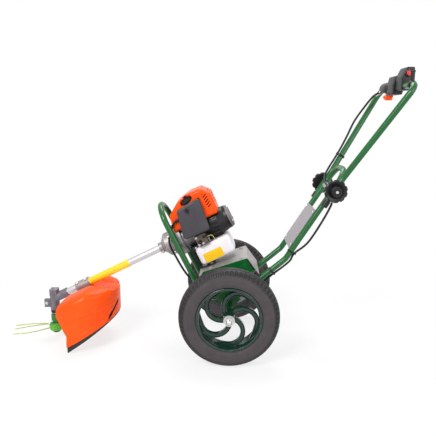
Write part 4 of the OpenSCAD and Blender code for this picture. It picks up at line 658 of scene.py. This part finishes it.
def spoke_form(start, side):
    """A tail that leaves the barrel's wall slowly, then half a circle to the hub. The section is a flat bar
    with two raised round edges, and it grows narrower into the tail and wider at the hub."""
    lead = np.linspace(-1.0, 0.0, 22)[:-1]
    turn = np.linspace(0.0, np.pi, 61)
    lead_r = 2 * spoke_ring_r + 9.0 * lead**2
    path = np.concatenate([
        np.stack([lead_r * np.cos(0.5 * lead), lead_r * np.sin(0.5 * lead)], 1),
        np.stack([spoke_ring_r + spoke_ring_r * np.cos(turn), spoke_ring_r * np.sin(turn)], 1),
    ])
    way = unit(np.gradient(path, axis=0))
    out = np.stack([way[:, 1], -way[:, 0]], 1)[:, None]
    swell = 1.0 + 0.35 * np.exp(-(((np.pi - turn) / 0.45) ** 2))
    width = np.concatenate([1.0 + 0.55 * lead, swell])[:, None]
    loop = full_turn(40)[None, :]
    across, lift = signed_power(np.cos(loop), 0.35), signed_power(np.sin(loop), 0.35)
    web = np.clip((0.82 - np.abs(across)) / 0.3, 0, 1)
    height = np.where(lift > 0, lift * (10.5 - 4.5 * web), 10.0 * lift) * np.minimum(width, 1.0)
    flat = path[:, None] + (spoke_half * width * across)[..., None] * out
    x = np.cos(start) * flat[..., 0] - np.sin(start) * flat[..., 1]
    y = np.sin(start) * flat[..., 0] + np.cos(start) * flat[..., 1]
    ring = wheel_point(np.stack([x, y, spoke_set + height], -1), side)
    return outward(lattice(ring, around=True, caps=True))


def rim_form(side):
    """The barrel's section turned into a ring, the hub, and five spokes at equal steps."""
    turn = full_turn(160)[None, :]
    radius, out = rim_barrel[:, 1:], rim_barrel[:, :1] + 0 * turn
    barrel = wheel_point(np.stack([radius * np.cos(turn), radius * np.sin(turn), out], -1), side)
    hub = turned(hub_shape, [0.0, side * half_track, wheel_z], [0.0, side, 0.0], 64)
    spokes = [spoke_form(start, side) for start in np.radians(52 + 72 * np.arange(5))]
    return together([outward(lattice(barrel, around=True, along=True)), hub] + spokes)


rim_green = two_tone(
    "rim_green", (9, 38, 29), (18, 54, 43), {"Specular IOR Level": 0.55},
    cloud=(16.0, 3.0), rough=(0.2, 0.25), grain=(320.0, 1.0, 0.00003),
    over=lambda place: place.noise(70.0, 5.0).step(0.55, 0.85), third=(50, 76, 66), dusty=True,
)
valve = [[0, 3.4], [12, 3.2], [13, 2.6], [24, 2.6], [25, 3.0], [31, 3.0], [32, 2.0]]
valve_turn, valve_r, valve_set, valve_lean = 2.2, 107.5, -14.0, -0.9
valve_way = np.array([np.cos(valve_turn), np.sin(valve_turn)])
for side, wheel in ((-1, "left"), (1, "right")):
    piece(wheel + "_rim_casting", rim_form(side), wheel + "_wheel", rim_green, (wheel + "_rim",), 42.0)
    foot = wheel_point([*(valve_r * valve_way), valve_set], side)
    inward = wheel_point([*-valve_way, valve_lean], side) - wheel_point([0.0, 0.0, 0.0], side)
    stem = turned(valve, foot, inward, 20)
    piece(wheel + "_valve", stem, wheel + "_wheel", black_plastic)

# The engine's castings: clutch and fan housing, crankcase, cylinder and carburettor, of die-cast aluminium.
# The clutch housing is clamped on the shaft by a split lug, and four screws hold its flange.
cast_grey = two_tone(
    "cast_grey", (156, 152, 153), (108, 104, 105), {"Metallic": 0.65},
    cloud=(22.0, 5.0, 0.5, 0.85), rough=(0.38, 0.2), grain=(520.0, 3.0, 0.00008), fine=True,
)
dress(cast_grey, "clutch_housing", "fan_housing", "crankcase", "cylinder_block", "guard_clamp")
dark_cast = two_tone(
    "dark_cast", (116, 100, 92), (74, 66, 64), {"Metallic": 0.6},
    cloud=(40.0, 5.0), rough=(0.36, 0.2), grain=(520.0, 3.0, 0.00008), fine=True,
)
dress(dark_cast, "carburettor")


def rounded(core, radius, spread):
    """The outline around a convex polygon at a distance: for each corner an arc between its two edges'
    normals. Gives points about a spread apart, each as a corner and a unit direction, counter-clockwise."""
    core = np.asarray(core, float)
    edge = np.roll(core, -1, 0) - core
    normal = np.arctan2(-edge[:, 0], edge[:, 1])
    before = np.roll(normal, 1)
    sweep = (normal - before) % (2 * np.pi)
    angle = (before[:, None] + sweep[:, None] * np.linspace(0, 1, 12)).ravel()
    corner, way = np.repeat(core, 12, 0), np.stack([np.cos(angle), np.sin(angle)], 1)
    loop = np.hstack([corner, way])[np.arange(len(corner) + 1) % len(corner)]
    gaps = np.linalg.norm(np.diff(loop[:, :2] + radius * loop[:, 2:], axis=0), axis=1)
    run = np.concatenate([[0], np.cumsum(gaps)])
    marks = np.linspace(0, run[-1], max(24, int(run[-1] / spread)), endpoint=False)
    even = np.stack([np.interp(marks, run, loop[:, k]) for k in range(4)], 1)
    return even[:, :2], unit(even[:, 2:])


def inset(corners, distance):
    """The corners of a convex polygon moved in by one distance from both their edges."""
    corners = np.asarray(corners, float)
    edge = unit(np.roll(corners, -1, 0) - corners)
    normal = np.stack([edge[:, 1], -edge[:, 0]], 1)
    before = np.roll(normal, 1, 0)
    return corners - distance * (normal + before) / (1 + (normal * before).sum(1, keepdims=True))


def engine_space(points):
    """An outline's two measures lie along and across the shaft, and its third to the side."""
    return on_shaft(points[..., [0, 2, 1]])


def block(core, radius, low, high, edge, to_space=engine_space, rings=1, spread=3.0, crown=0.0, levels=2):
    """A rounded block: an outline carried from a low to a high side, drawn in along a quarter circle at both
    edges. Each flat side is closed by rings that shrink to its middle and may rise to a crown."""
    corner, way = rounded(core, radius, spread)
    quarter = np.linspace(0, np.pi / 2, 7)
    wall = np.linspace(low + edge, high - edge, levels)[1:-1]
    draw = np.concatenate([edge * (1 - np.sin(quarter)), 0 * wall, edge * (1 - np.cos(quarter))])
    level = np.concatenate([low + edge * (1 - np.cos(quarter)), wall, high - edge * (1 - np.sin(quarter))])
    outline = corner[None] + (radius - draw[:, None, None]) * way[None]
    middle = np.mean(core, 0)
    shrink = np.linspace(0, 1, rings + 1)[1:, None, None]
    low_side = outline[0] + (middle - outline[0]) * np.minimum(shrink, 0.999)
    high_side = outline[-1] + (middle - outline[-1]) * np.minimum(shrink, 0.999)
    swell = crown * (1 - (1 - shrink[:, :, 0]) ** 2)
    flat = np.concatenate([low_side[::-1], outline, high_side])
    height = np.concatenate([(low - swell)[::-1, 0], level, (high + swell)[:, 0]])
    height = np.broadcast_to(height[:, None, None], flat.shape[:2] + (1,))
    points = to_space(np.concatenate([flat, height], -1))
    return outward(lattice(points, around=True, caps=True))


clamp_lug = block([[3, -19], [11, -19], [11, -14], [3, -14]], 3.0, -14.0, 14.0, 2.0)
piece("clutch_clamp", clamp_lug, "frame", cast_grey)
bolts("clutch_clamp_bolt", [on_shaft([7.0, -14.0, -18.0])], -side_way, (4.2, 4.0), 5.5)


def round_shaft(u, radius, turns):
    """Places round the shaft's axis, at a distance along it and a radius, one for each turn in degrees."""
    turns = np.radians(turns)
    return on_shaft(np.column_stack([u + 0 * turns, radius * np.cos(turns), radius * np.sin(turns)]))


bolts("clutch_flange_screws", round_shaft(57.8, 49.5, [40, 140, 220, 320]), -shaft_way, (4.0, 4.5), sides=20)

# The spark plug's white insulator, and the muffler of pressed black steel on the far side. The muffler's
# halves meet in a seam, and four ribs stand on its outer face.
plug_white = two_tone(
    "plug_white", (236, 235, 230), (218, 216, 210), {}, cloud=(200.0, 2.0), rough=(0.12, 0.1),
)
dress(plug_white, "spark_plug")
dress(black_steel, "muffler")
seam = block([[134, 42], [202, 42], [202, 98], [134, 98]], 11.0, 76.5, 79.5, 1.2)
piece("muffler_seam", seam, "frame", black_steel)
rib_bars = [
    carried(on_shaft([[136, 94.5, w], [170, 96.0, w], [200, 94.5, w]]), 2.2, 10) for w in (62, 72, 82, 92)
]
piece("muffler_ribs", together(rib_bars), "frame", black_steel)

# The engine cover: one shell of glossy orange plastic over the cylinder, with an oval air mouth on the near
# side and cooling slots down its rear slope, both pressed in and darkened with painted shade.
cover_corners = [[103, 50], [261, 50], [263, 110], [243, 133], [205, 135], [155, 124], [113, 95], [103, 52]]
mouth_u, mouth_w, mouth_half_l, mouth_half_h = 183.0, 131.0, 25.0, 14.0
mouth_in, mouth_down = 11.0, 9.0
slot_step, slot_depth, flank_depth = 10.5, 4.0, 3.0


def cover_form():
    """A rounded block whose skin is pushed in over an oval on its near upper edge, and over rows of slots
    on the rear slope and the rear face. The tone is how far it is pushed in, from 0 to 1, and the material
    paints shade by it."""
    points, faces = block(
        cover_corners, 14.0, -60.0, 60.0, 14.0, rings=60, spread=1.4, levels=70,
    )
    shift = points - clutch_face
    along, up, side = shift @ shaft_way, shift @ shaft_up, points[:, 1]
    across, rise = along - mouth_u, up - mouth_w - 0.15 * (along - mouth_u)
    oval = (across / mouth_half_l) ** 2 + (rise / mouth_half_h) ** 2
    mouth = np.clip((1.12 - oval) / 0.25, 0, 1) * (side < -20)
    lean = up - 0.5 * (along - 255.0)
    row = np.clip((2.6 - np.abs((lean - 60.0) % slot_step - 5.2)) / 0.9, 0, 1)
    slope = row * np.clip((along - 247) / 2, 0, 1) * window(side, -36, 36, 2) * window(up, 66, 128, 2)
    flank = row * (side < -44) * window(along, 243, 262, 2) * window(up, 70, 126, 2)
    push = mouth_in * side_way - mouth_down * shaft_up
    points = points + mouth[:, None] * push - slot_depth * slope[:, None] * shaft_way
    points = points + flank_depth * flank[:, None] * side_way
    return (points, faces), np.maximum(mouth, np.maximum(0.8 * slope, 0.8 * flank))


def orange_look(place):
    # Painted shade: where the tone is high, in the cover's mouth and slots and the guard's slot, the orange
    # turns near black and rougher.
    painted_shade = toned(place).step(0.25, 0.7)
    cloud = place.noise(14.0, 3.0)
    fine = place.noise(800.0, 1.0)
    scuff = place.noise(120.0, 5.0).step(0.62, 0.8)
    fresh = cloud.tint(paint(250, 70, 6), paint(255, 92, 20))
    return {
        "Base Color": painted_shade.tint(fresh, paint(26, 22, 22)),
        "Roughness": 0.3 + 0.14 * scuff + 0.2 * painted_shade,
        "Relief": fine * 0.00001 - scuff * 0.00001,
    }


orange_plastic = finish("orange_plastic", orange_look, {"Specular IOR Level": 0.16})
cover, cover_painted_shade = cover_form()
piece("engine_cover_shell", cover, "frame", orange_plastic, ("engine_cover",), 55.0, cover_painted_shade)

# The air filter: a dark grey moulded cover on a black base, held by one thumb screw.
# Its face is dished a little around the screw and has a bevel down the rear edge.
filter_corners = [[115, 1], [220, -2], [234.5, 123], [138, 113]]


def filter_form():
    """A rounded block with a low crown. The near face leans back behind a line down its rear third, and
    sinks in a small dish around the screw."""
    points, faces = block(
        inset(filter_corners, 13.0), 13.0, -93.6, -72.0, 8.0, rings=30, spread=2.5, crown=1.0, levels=6,
    )
    shift = points - clutch_face
    along, up, side = shift @ shaft_way, shift @ shaft_up, points[:, 1]
    lean = along - 0.21 * (up - 50.0)
    bevel = np.clip((lean - 196.0) / 30.0, 0, 1) * np.clip((-76.0 - side) / 17.0, 0, 1)
    dish = np.clip(1.0 - np.hypot(along - 174.0, up - 98.0) / 14.0, 0, 1) * (side < -90)
    return points + (9.0 * bevel + 1.2 * dish)[:, None] * side_way, faces


filter_grey = two_tone(
    "filter_grey", (48, 46, 52), (68, 65, 70), {"Specular IOR Level": 0.4},
    cloud=(20.0, 5.0), rough=(0.42, 0.14), grain=(1100.0, 2.0, 0.00004),
)
piece("filter_cover_shell", filter_form(), "frame", filter_grey, ("filter_cover",), 50.0)

# The recoil starter: a black moulded drum with cooling ribs and a grey end cover, held by three screws. Its
# rope runs from a boss on the far side to the pull grip. The carburettor's small screws come last.
starter_grey = two_tone(
    "starter_grey", (96, 92, 94), (122, 117, 118), {"Specular IOR Level": 0.5},
    cloud=(24.0, 4.0), rough=(0.4, 0.16), grain=(900.0, 2.0, 0.00004),
)
dress(starter_grey, "starter_cover")
drum_ribs = [
    block(
        [[204, 52.0], [252, 52.0], [248, 54.5], [206, 54.5]], 1.2, -2.2, 2.2, 1.0,
        lambda points, turn=turn: on_shaft(np.stack([
            points[..., 0],
            points[..., 2] * np.cos(turn) - points[..., 1] * np.sin(turn),
            points[..., 2] * np.sin(turn) + points[..., 1] * np.cos(turn),
        ], -1)),
    )
    for turn in np.radians(np.arange(30, 175, 16.0))
]
piece("starter_ribs", together(drum_ribs), "frame", black_plastic)
bolts("starter_screws", round_shaft(304.9, 35.0, [90, 210, 330]), shaft_way, (3.6, 2.6), sides=20)
rope_u, rope_r, rope_still_y, rope_free_y = 238.0, 1.6, 52.0, 66.0
rope_y = np.linspace(50.0, 70.0, 61)
rope_path = on_shaft(np.column_stack([rope_u + 0 * rope_y, rope_y, 0 * rope_y]))
starter_rope = piece("starter_rope", carried(rope_path, rope_r, 12), None, cable_black)
in_place(on_shaft([rope_u, rope_still_y, 0.0])).tolist()
in_place(on_shaft([rope_u, rope_free_y, 0.0])).tolist()
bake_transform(starter_rope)
carb_spots = [on_shaft([u, -70.0, w]) for u, w in ((155, -13), (172, -42), (155, -42))]
bolts("carburettor_screws", carb_spots, -side_way, (3.2, 2.6), 4.4, 20)

# The fuel tank: blow-moulded white plastic with soft edges and a low ridge where the two mould halves meet.
# It has a plain yellow patch on its near side, and a clear amber hose takes the fuel up to the carburettor.
tank_corners = [[127, -125.4], [269, -125.4], [269, -53.4], [127, -53.4]]
tank_white = two_tone(
    "tank_white", (232, 226, 232), (246, 242, 246), {"Subsurface Weight": 0.15, "Subsurface Scale": 0.004},
    cloud=(18.0, 3.0), rough=(0.34, 0.12), grain=(500.0, 2.0, 0.00003),
)
tank_forms = [
    block(inset(tank_corners, 15.0), 15.0, -55.0, 55.0, 13.0, rings=20, spread=4.0, crown=1.0),
    turned([[54, 12.5], [66, 12.5], [66.2, 10]], on_shaft([174.3, 0.0, -89.4]), side_way, 40),
    block(inset(tank_corners, 14.4), 15.2, -1.2, 1.2, 0.9),
    block([[138, -54.5], [148, -54.5], [148, -50], [138, -50]], 2.0, -20.0, 20.0, 1.5),
]
piece("fuel_tank_shell", together(tank_forms), "frame", tank_white, ("fuel_tank",), 50.0)
plain_yellow = two_tone(
    "plain_yellow", (250, 200, 24), (236, 184, 40), {}, cloud=(60.0, 5.0, 0.5, 0.9), rough=(0.34, 0.2),
)
patch = block([[152, -115], [218, -115], [218, -88], [152, -88]], 5.0, -56.5, -55.2, 0.5)
piece("tank_patch", patch, "frame", plain_yellow)
fuel_amber = two_tone(
    "fuel_amber", (206, 192, 112), (226, 214, 150), {"Transmission Weight": 0.35, "IOR": 1.4},
    cloud=(120.0, 2.0), rough=(0.18, 0.1),
)
hose_route = smooth_path(on_shaft([
    [192.2, -59, -27], [202, -59, -27], [210.5, -58, -28.5], [213, -53, -33], [213, -47, -38.5],
    [213, -42.6, -44], [213, -42, -53.2],
]), 10)
piece("fuel_hose", carried(hose_route, 2.5, 14), "frame", fuel_amber, ("fuel_line",))

# Inner pieces of the drive: bronze bushes pressed into the shaft tube, and the clutch's shoes with a brown
# friction lining. None of them shows from outside.
bronze = two_tone(
    "bronze", (186, 142, 84), (186, 142, 84), {"Metallic": 1.0},
    cloud=(90.0, 3.0), rough=(0.25, 0.2), relief=0.00002,
)
dress(bronze, "shaft_bushes")
friction_brown = two_tone(
    "friction_brown", (84, 70, 60), (112, 94, 78), {}, cloud=(600.0, 4.0), rough=(0.7, 0.2),
)
dress(friction_brown, "clutch_shoes")

# The trimmer shaft: a drawn aluminium tube, bright from the die and brushed lengthwise, with a plain yellow
# sleeve. Two bolts hold the guard's cast clamp on it.
tube_silver = two_tone(
    "tube_silver", (196, 190, 194), (222, 217, 219), {"Metallic": 0.9},
    cloud=(30.0, 3.0), rough=(0.2, 0.2), relief=0.00001,
    brush=((1.0, 30.0, 30.0), (0.0, float(shaft_slope), 0.0)),
)
dress(tube_silver, "shaft_tube")
yellow_sleeve = [[-312, 14.05], [-311.5, 14.5], [-134.5, 14.5], [-134, 14.05]]
sleeve = turned(yellow_sleeve, clutch_face, shaft_way, 48)
piece("shaft_sleeve", sleeve, "frame", plain_yellow)
clip_spots = [on_shaft([u, -12.0, 17.6]) for u in (-360, -324)]
bolts("guard_clamp_bolts", clip_spots, shaft_up * 0.85 - side_way * 0.55, (4.5, 4.5), 6.5)

# The cutter: a cast gear case with a bolted cap, the green line head with finger grooves, and green nylon
# lines that come out of eyelets in the bell and droop towards their tips.
head_low, head_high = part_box("output_shaft")
head_x = ((head_low.x + head_high.x) / 2 - axle_x) / mm
case_base, case_top, case_bolt_set = 180.0, 206.5, 10.5
case_cap = block(
    [[-11, -11], [11, -11], [11, 11], [-11, 11]], 5.0, case_base, case_top, 2.0,
    lambda points: points + np.array([head_x, 0.0, 0.0]),
)
case_grey = two_tone(
    "case_grey", (136, 131, 139), (94, 90, 97), {"Metallic": 0.6},
    cloud=(40.0, 5.0), rough=(0.32, 0.2), grain=(520.0, 3.0, 0.00008), fine=True,
)
dress(case_grey, "gear_case")
piece("gear_case_cap", case_cap, "frame", case_grey)
case_spots = [
    [head_x + x * case_bolt_set, y * case_bolt_set, case_top - 0.1] for x in (-1, 1) for y in (-1, 1)
]
bolts("gear_case_bolts", case_spots, [0, 0, 1], (3.6, 3.2))
seal_shape = [[0, 12.6], [0, 16.6], [1, 17.2], [8, 17.2], [9, 16.4], [13, 16.4], [13.4, 12.6]]
seal = turned(seal_shape, [head_x, 0.0, 108.4], [0, 0, 1], 40)
piece("gear_case_seal", seal, "frame", black_plastic)
bolts("gear_case_lug_bolt", [[head_x - 31.0, -7.0, 146.8]], [0, -1, 0], (4.6, 4.0), 6.5)


def head_form():
    """The head's profile turned about its axis, with shallow grooves round the upper cap and the bell: the
    radius falls by a power of a cosine of the angle."""
    profile = np.array([
        [100, 6.2], [100, 16.5], [99, 18], [72, 18], [70, 16.6], [68, 15], [66, 18.5], [65, 21], [61, 25.6],
        [58, 27], [42, 27], [38, 25.6], [34, 22], [34, 16.4], [43.8, 16.4], [43.8, 20], [56, 20], [62, 8.2],
        [62.2, 6.2],
    ])
    turn = full_turn(144)[None, :]
    groove = np.abs(np.cos(9 * turn)) ** 6
    cap = ((profile[:, :1] > 71) & (profile[:, :1] < 99.5)) * 1.1
    bell = ((profile[:, :1] > 36) & (profile[:, :1] < 63) & (profile[:, 1:] > 24)) * 1.3
    radius = profile[:, 1:] - (cap + bell) * groove
    ring = np.stack([head_x + radius * np.cos(turn), radius * np.sin(turn), profile[:, :1] + 0 * turn], -1)
    return outward(lattice(ring, around=True, along=True))


def bell_share(place):
    """1 on the head's lower bell, falling to 0 towards its upper cap."""
    return 1.0 - place.node("ShaderNodeSeparateXYZ", {}, {"Vector": place}, out="Z").step(0.05, 0.074)


head_green = two_tone(
    "head_green", (34, 104, 36), (50, 126, 46), {},
    cloud=(30.0, 3.0), rough=(0.32, 0.14), relief=0.00005, over=bell_share, third=(92, 176, 38),
)
piece("line_head_body", head_form(), "cutter_head", head_green, ("line_head",), 40.0)
line_r, line_start, line_end, eyelet_r = 1.9, 26.5, 161.5, 26.8


def line_form(turn, height, droop, curl):
    """A round line that leaves the bell straight out and droops by the square of its run, and curls."""
    run = np.linspace(0, 1, 40)
    reach = line_start + (line_end - line_start) * run
    bend = np.radians(turn) + np.radians(curl) * run**2
    path = np.stack([head_x + reach * np.cos(bend), reach * np.sin(bend), height - droop * run**2], 1)
    return carried(path, line_r, 10, lean=(0.1, 0.2, 1.0))


def eyelet_form(turn, height):
    """A small flanged ring that points straight out of the bell."""
    way = np.array([np.cos(np.radians(turn)), np.sin(np.radians(turn)), 0.0])
    shape = [[-1.5, 3.4], [1.2, 3.4], [1.6, 2.2], [1.6, 0.4]]
    return turned(shape, [head_x, 0.0, height] + eyelet_r * way, way, 18)


line_green = two_tone(
    "line_green", (150, 184, 60), (186, 200, 90), {"Transmission Weight": 0.1},
    cloud=(160.0, 2.0), rough=(0.3, 0.1),
)
line_forms = [
    line_form(turn + half, height, droop, curl)
    for half in (0, 180)
    for turn, height, droop, curl in ((180, 58, 6, 4), (192, 58, 16, -4), (222, 48, 2, -14))
]
piece("trimmer_line_set", together(line_forms), "cutter_head", line_green, ("trimmer_lines",))
eyelet_spots = ((180, 58), (192, 58), (222, 48), (0, 58), (12, 58), (42, 48), (255, 80))
eyelets = [eyelet_form(turn, height) for turn, height in eyelet_spots]
piece("line_eyelets", together(eyelets), "cutter_head", bright_steel)

# The guard: a glossy orange moulding round the back of the cutter, domed on top with two lobes beside the
# shaft, stiffened by pressed ribs and a stepped rim band. A black skirt of soft plastic is fixed inside its
# lower edge.
guard_r, guard_wall, guard_top, guard_x = 148.0, 3.0, 226.0, -(head_x + 113.0)
guard_shoulder, guard_slope, guard_front = 165.0, np.radians(17.2), 26.0
guard_tilt, guard_lap, guard_lap_fall = np.radians(34.0), 24.0, 18.0
shaft_r, shaft_gap = 14.0, 2.0
guard_lobe_h, guard_lobe_y, guard_power = 16.0, 34.0, 3.5
guard_reach, guard_reach_loss = 116, 16
band_h, crease_h, rib_h, edge_h, slot_in, slot_through = 2.4, -1.4, 1.8, 1.6, 2.0, 1.0
band_at, crease_at = 0.80, 0.30


def shaft_height(x):
    """Height of the shaft's axis over a place along the machine."""
    return clutch_face[2] + (x - clutch_face[0]) * np.tan(shaft_slope)


def guard_floor(x):
    """Height of the skirt's lower edge: on the ground in front, then rising to the back."""
    return np.maximum(0.0, (x + guard_x + guard_front) * np.tan(guard_tilt))


def ease(value):
    """A smooth step of a value from 0 to 1."""
    value = np.clip(value, 0, 1)
    return value * value * (3 - 2 * value)


def guard_skin(depth, rows, columns):
    """The skin at a depth under the outer face. Row by row it goes out from the middle of the top by a
    share of the radius, the height falling as a superellipse of it, then down the wall to the lower rim."""
    top_rows, wall_rows = rows
    share = np.concatenate([np.linspace(0.05, 1, top_rows) ** 0.8, np.ones(wall_rows)])[:, None]
    fall = np.concatenate([np.zeros(top_rows), np.linspace(0, 1, wall_rows + 1)[1:]])[:, None]
    limit = np.radians(guard_reach - guard_reach_loss * np.minimum(1, fall * 1.5))
    turn = limit * np.linspace(-1, 1, columns)[None, :]
    radius = (guard_r - depth) * share
    x, y = -guard_x + radius * np.cos(turn), radius * np.sin(turn)
    lobe = guard_lobe_h * ease((np.abs(y) - guard_lobe_y) / guard_lobe_y)
    shoulder = guard_shoulder + (x + guard_x) * np.tan(guard_slope)
    under_shaft = shaft_height(x) - shaft_r / np.cos(shaft_slope) - shaft_gap
    ceiling = np.minimum(under_shaft, guard_top) + lobe - depth
    back = (x + guard_x + guard_front) / (guard_r + guard_front)
    rim = guard_floor(x) + guard_lap - guard_lap_fall * back
    rise = np.clip(1 - share**guard_power, 0, 1) ** (1 / guard_power)
    z = np.where(fall > 0, shoulder + (rim - shoulder) * fall, shoulder + (ceiling - shoulder) * rise)
    return np.stack([x, y, z], -1), fall + 0 * turn, turn


def shell(outer, inner):
    """Two skins of the same grid joined along all four edges."""
    rows, columns = outer.shape[:2]
    points, faces = lattice(np.concatenate([outer, inner[::-1]]), along=True)
    mark = np.arange(2 * rows * columns).reshape(2 * rows, columns)
    back = mark[::-1]
    for at, way in ((0, 1), (columns - 1, -1)):
        edges = [mark[:rows - 1, at], mark[1:rows, at], back[1:rows, at], back[:rows - 1, at]]
        faces = faces + [np.stack(edges, 1)[:, ::way]]
    return outward((points, faces))


def guard_form():
    """The outer skin lifted by pressed ribs and a stepped band above the rim, over an even inner skin. The
    tone marks the slot in the near wall, where the material paints shade near black."""
    rows, columns = (70, 64), 181
    outer, fall, turn = guard_skin(0.0, rows, columns)
    inner = guard_skin(guard_wall, rows, columns)[0]
    slope = np.degrees(turn)
    aside = np.abs(slope)
    out = np.stack([np.cos(turn), np.sin(turn), 0 * turn], -1)
    band = band_h * ease((fall - band_at) / 0.03) * ease((aside - 20) / 10)
    crease = crease_h * np.exp(-(((fall - crease_at) / 0.02) ** 2)) * ease((aside - 12) / 12)
    ribs = rib_h * np.exp(-((((aside + 4.0) % 24.0) - 12.0) / 2.0) ** 2) * ease((fall - 0.08) / 0.1)
    ribs = ribs * ease((band_at - fall) / 0.1) * ease((aside - 40) / 10)
    edge = edge_h * np.exp(-(((1 - aside / aside.max()) / 0.03) ** 2))
    lift = band + crease + ribs + edge * (fall > 0.02)
    # The slot is a shallow groove. Its mask is also the tone by which the material paints shade into it.
    line = 0.92 - 0.465 * (36 + slope) / 28
    slot = ease((0.085 - np.abs(fall - line)) / 0.03) * ease((slope + 38) / 5) * ease((-5 - slope) / 5)
    outer = outer + (lift - slot_in * slot)[..., None] * out
    inner = inner - (slot_through * slot)[..., None] * out
    return shell(outer, inner), np.concatenate([slot, 0 * slot])


guard, guard_painted_shade = guard_form()
piece("guard_moulding", guard, "frame", orange_plastic, ("guard",), 50.0, guard_painted_shade)


skirt_gap, skirt_wall, skirt_lap = 0.1, 2.6, 14.0


def skirt_form():
    """A strip that follows the guard's lower rim inside its wall, from the floor line to above the rim."""
    skins = []
    for depth in (guard_wall + skirt_gap, guard_wall + skirt_wall):
        rim = guard_skin(depth, (4, 4), 181)[0][-1]
        high = rim[:, 2] + skirt_lap
        step = np.linspace(0, 1, 9)[:, None]
        height = high + (guard_floor(rim[:, 0]) - high) * step
        skins.append(np.stack([rim[None, :, 0] + 0 * step, rim[None, :, 1] + 0 * step, height], -1))
    return shell(*skins)


skirt_black = two_tone(
    "skirt_black", (34, 30, 30), (60, 52, 50), {},
    cloud=(90.0, 5.0, 0.5, 0.85), rough=(0.42, 0.2), relief=0.00004,
)
piece("guard_skirt_strip", skirt_form(), "frame", skirt_black, ("guard_skirt",), 50.0)

# The throttle: a ribbed black grip body on the far half of the crossbar, a moulded switch block beside it
# with a red stop button in a collar, and an orange trigger under the body.
def bar_space(points):
    """An outline's two measures lie behind and above the crossbar, and its third along it."""
    return crossbar + points[..., [0, 2, 1]]


block_corners = [[-14, -14], [22, -14], [30, 64], [2, 64], [-14, 30]]
middle_corners = [[-21, -26], [14, -26], [22, 10], [14, 40], [-14, 40], [-21, 10]]
cheek_shape = [
    [54, 12], [54, 21], [57, 24.4], [62, 25], [64, 23.6], [66, 25], [76, 25], [77.4, 24.6], [78, 23.4],
    [78, 12],
]
body_turn = np.radians(np.linspace(-31.3, 211.3, 40))
body_arch = 25.0 * np.column_stack([np.cos(body_turn), np.sin(body_turn)])
stub_shape = [[11, 7], [40, 7], [40.5, 8.4], [46, 8.4], [47, 7.2]]
ring_shape = [[-8, 11.2], [-8, 13.4], [-7, 14], [7, 14], [8, 13.4], [8, 11.2]]
stub_y = -146.0
switch_face = -85.0
button_spot = crossbar + np.array([8.0, switch_face, 42.0])
collar_shape = [[0.3, 9.5], [4.8, 9.5], [5.2, 9.9], [5.2, 11.4], [4.6, 12], [-0.5, 12.4]]
throttle_forms = [
    block(inset(block_corners, 5.0), 5.0, switch_face, -14.0, 4.0, bar_space),
    block(inset(middle_corners, 5.0), 5.0, -18.0, 55.0, 4.0, bar_space),
    turned(cheek_shape, crossbar, side_way, 64),
    block(body_arch * 0.96, 1.0, 77.0, 134.0, 2.5, bar_space),
    turned(collar_shape, button_spot, -side_way, 40),
    turned(ring_shape, crossbar + stub_y * side_way, side_way, 40),
    turned(stub_shape, crossbar + stub_y * side_way, [0, 0, 1], 32),
]
piece("throttle_body", together(throttle_forms), "handle", black_plastic, ("throttle_housing",), 45.0)
cap_spots = [crossbar + np.array([x, switch_face, z]) for x, z in ((-9, 24), (18, -8), (22, 57))]
bolts("throttle_screws", cap_spots, -side_way, (2.8, 1.6), 0.0, 18, "handle", black_steel)


def trigger_space(points):
    """An outline's two measures lie along and above the crossbar, and its third behind it."""
    return crossbar + points[..., [2, 0, 1]]


lever_corners = [[58.4, -32], [71.2, -42], [96, -42], [96, -21], [67, -17], [58.4, -23]]
paddle_corners = [[80, -42], [96.3, -42], [124, -32], [124, -24.5], [80, -19.5]]
trigger_form = together([
    block(inset(lever_corners, 3.0), 3.0, -7.0, 7.0, 2.0, trigger_space),
    block(inset(paddle_corners, 3.0), 3.0, -12.0, 12.0, 3.0, trigger_space),
])
piece(
    "trigger_lever", trigger_form, "throttle_trigger", orange_plastic,
    ("throttle_trigger",), 45.0, np.zeros(len(trigger_form[0])),
)
stop_red = two_tone("stop_red", (206, 28, 26), (226, 48, 40), {}, cloud=(300.0, 2.0), rough=(0.28, 0.12))
button_shape = [[4.6, 8.6], [5, 9], [9.2, 9], [10.1, 8.4], [10.4, 7.2]]
button = turned(button_shape, button_spot, -side_way, 40)
piece("stop_button", button, "stop_switch", stop_red, ("stop_switch",), 45.0)
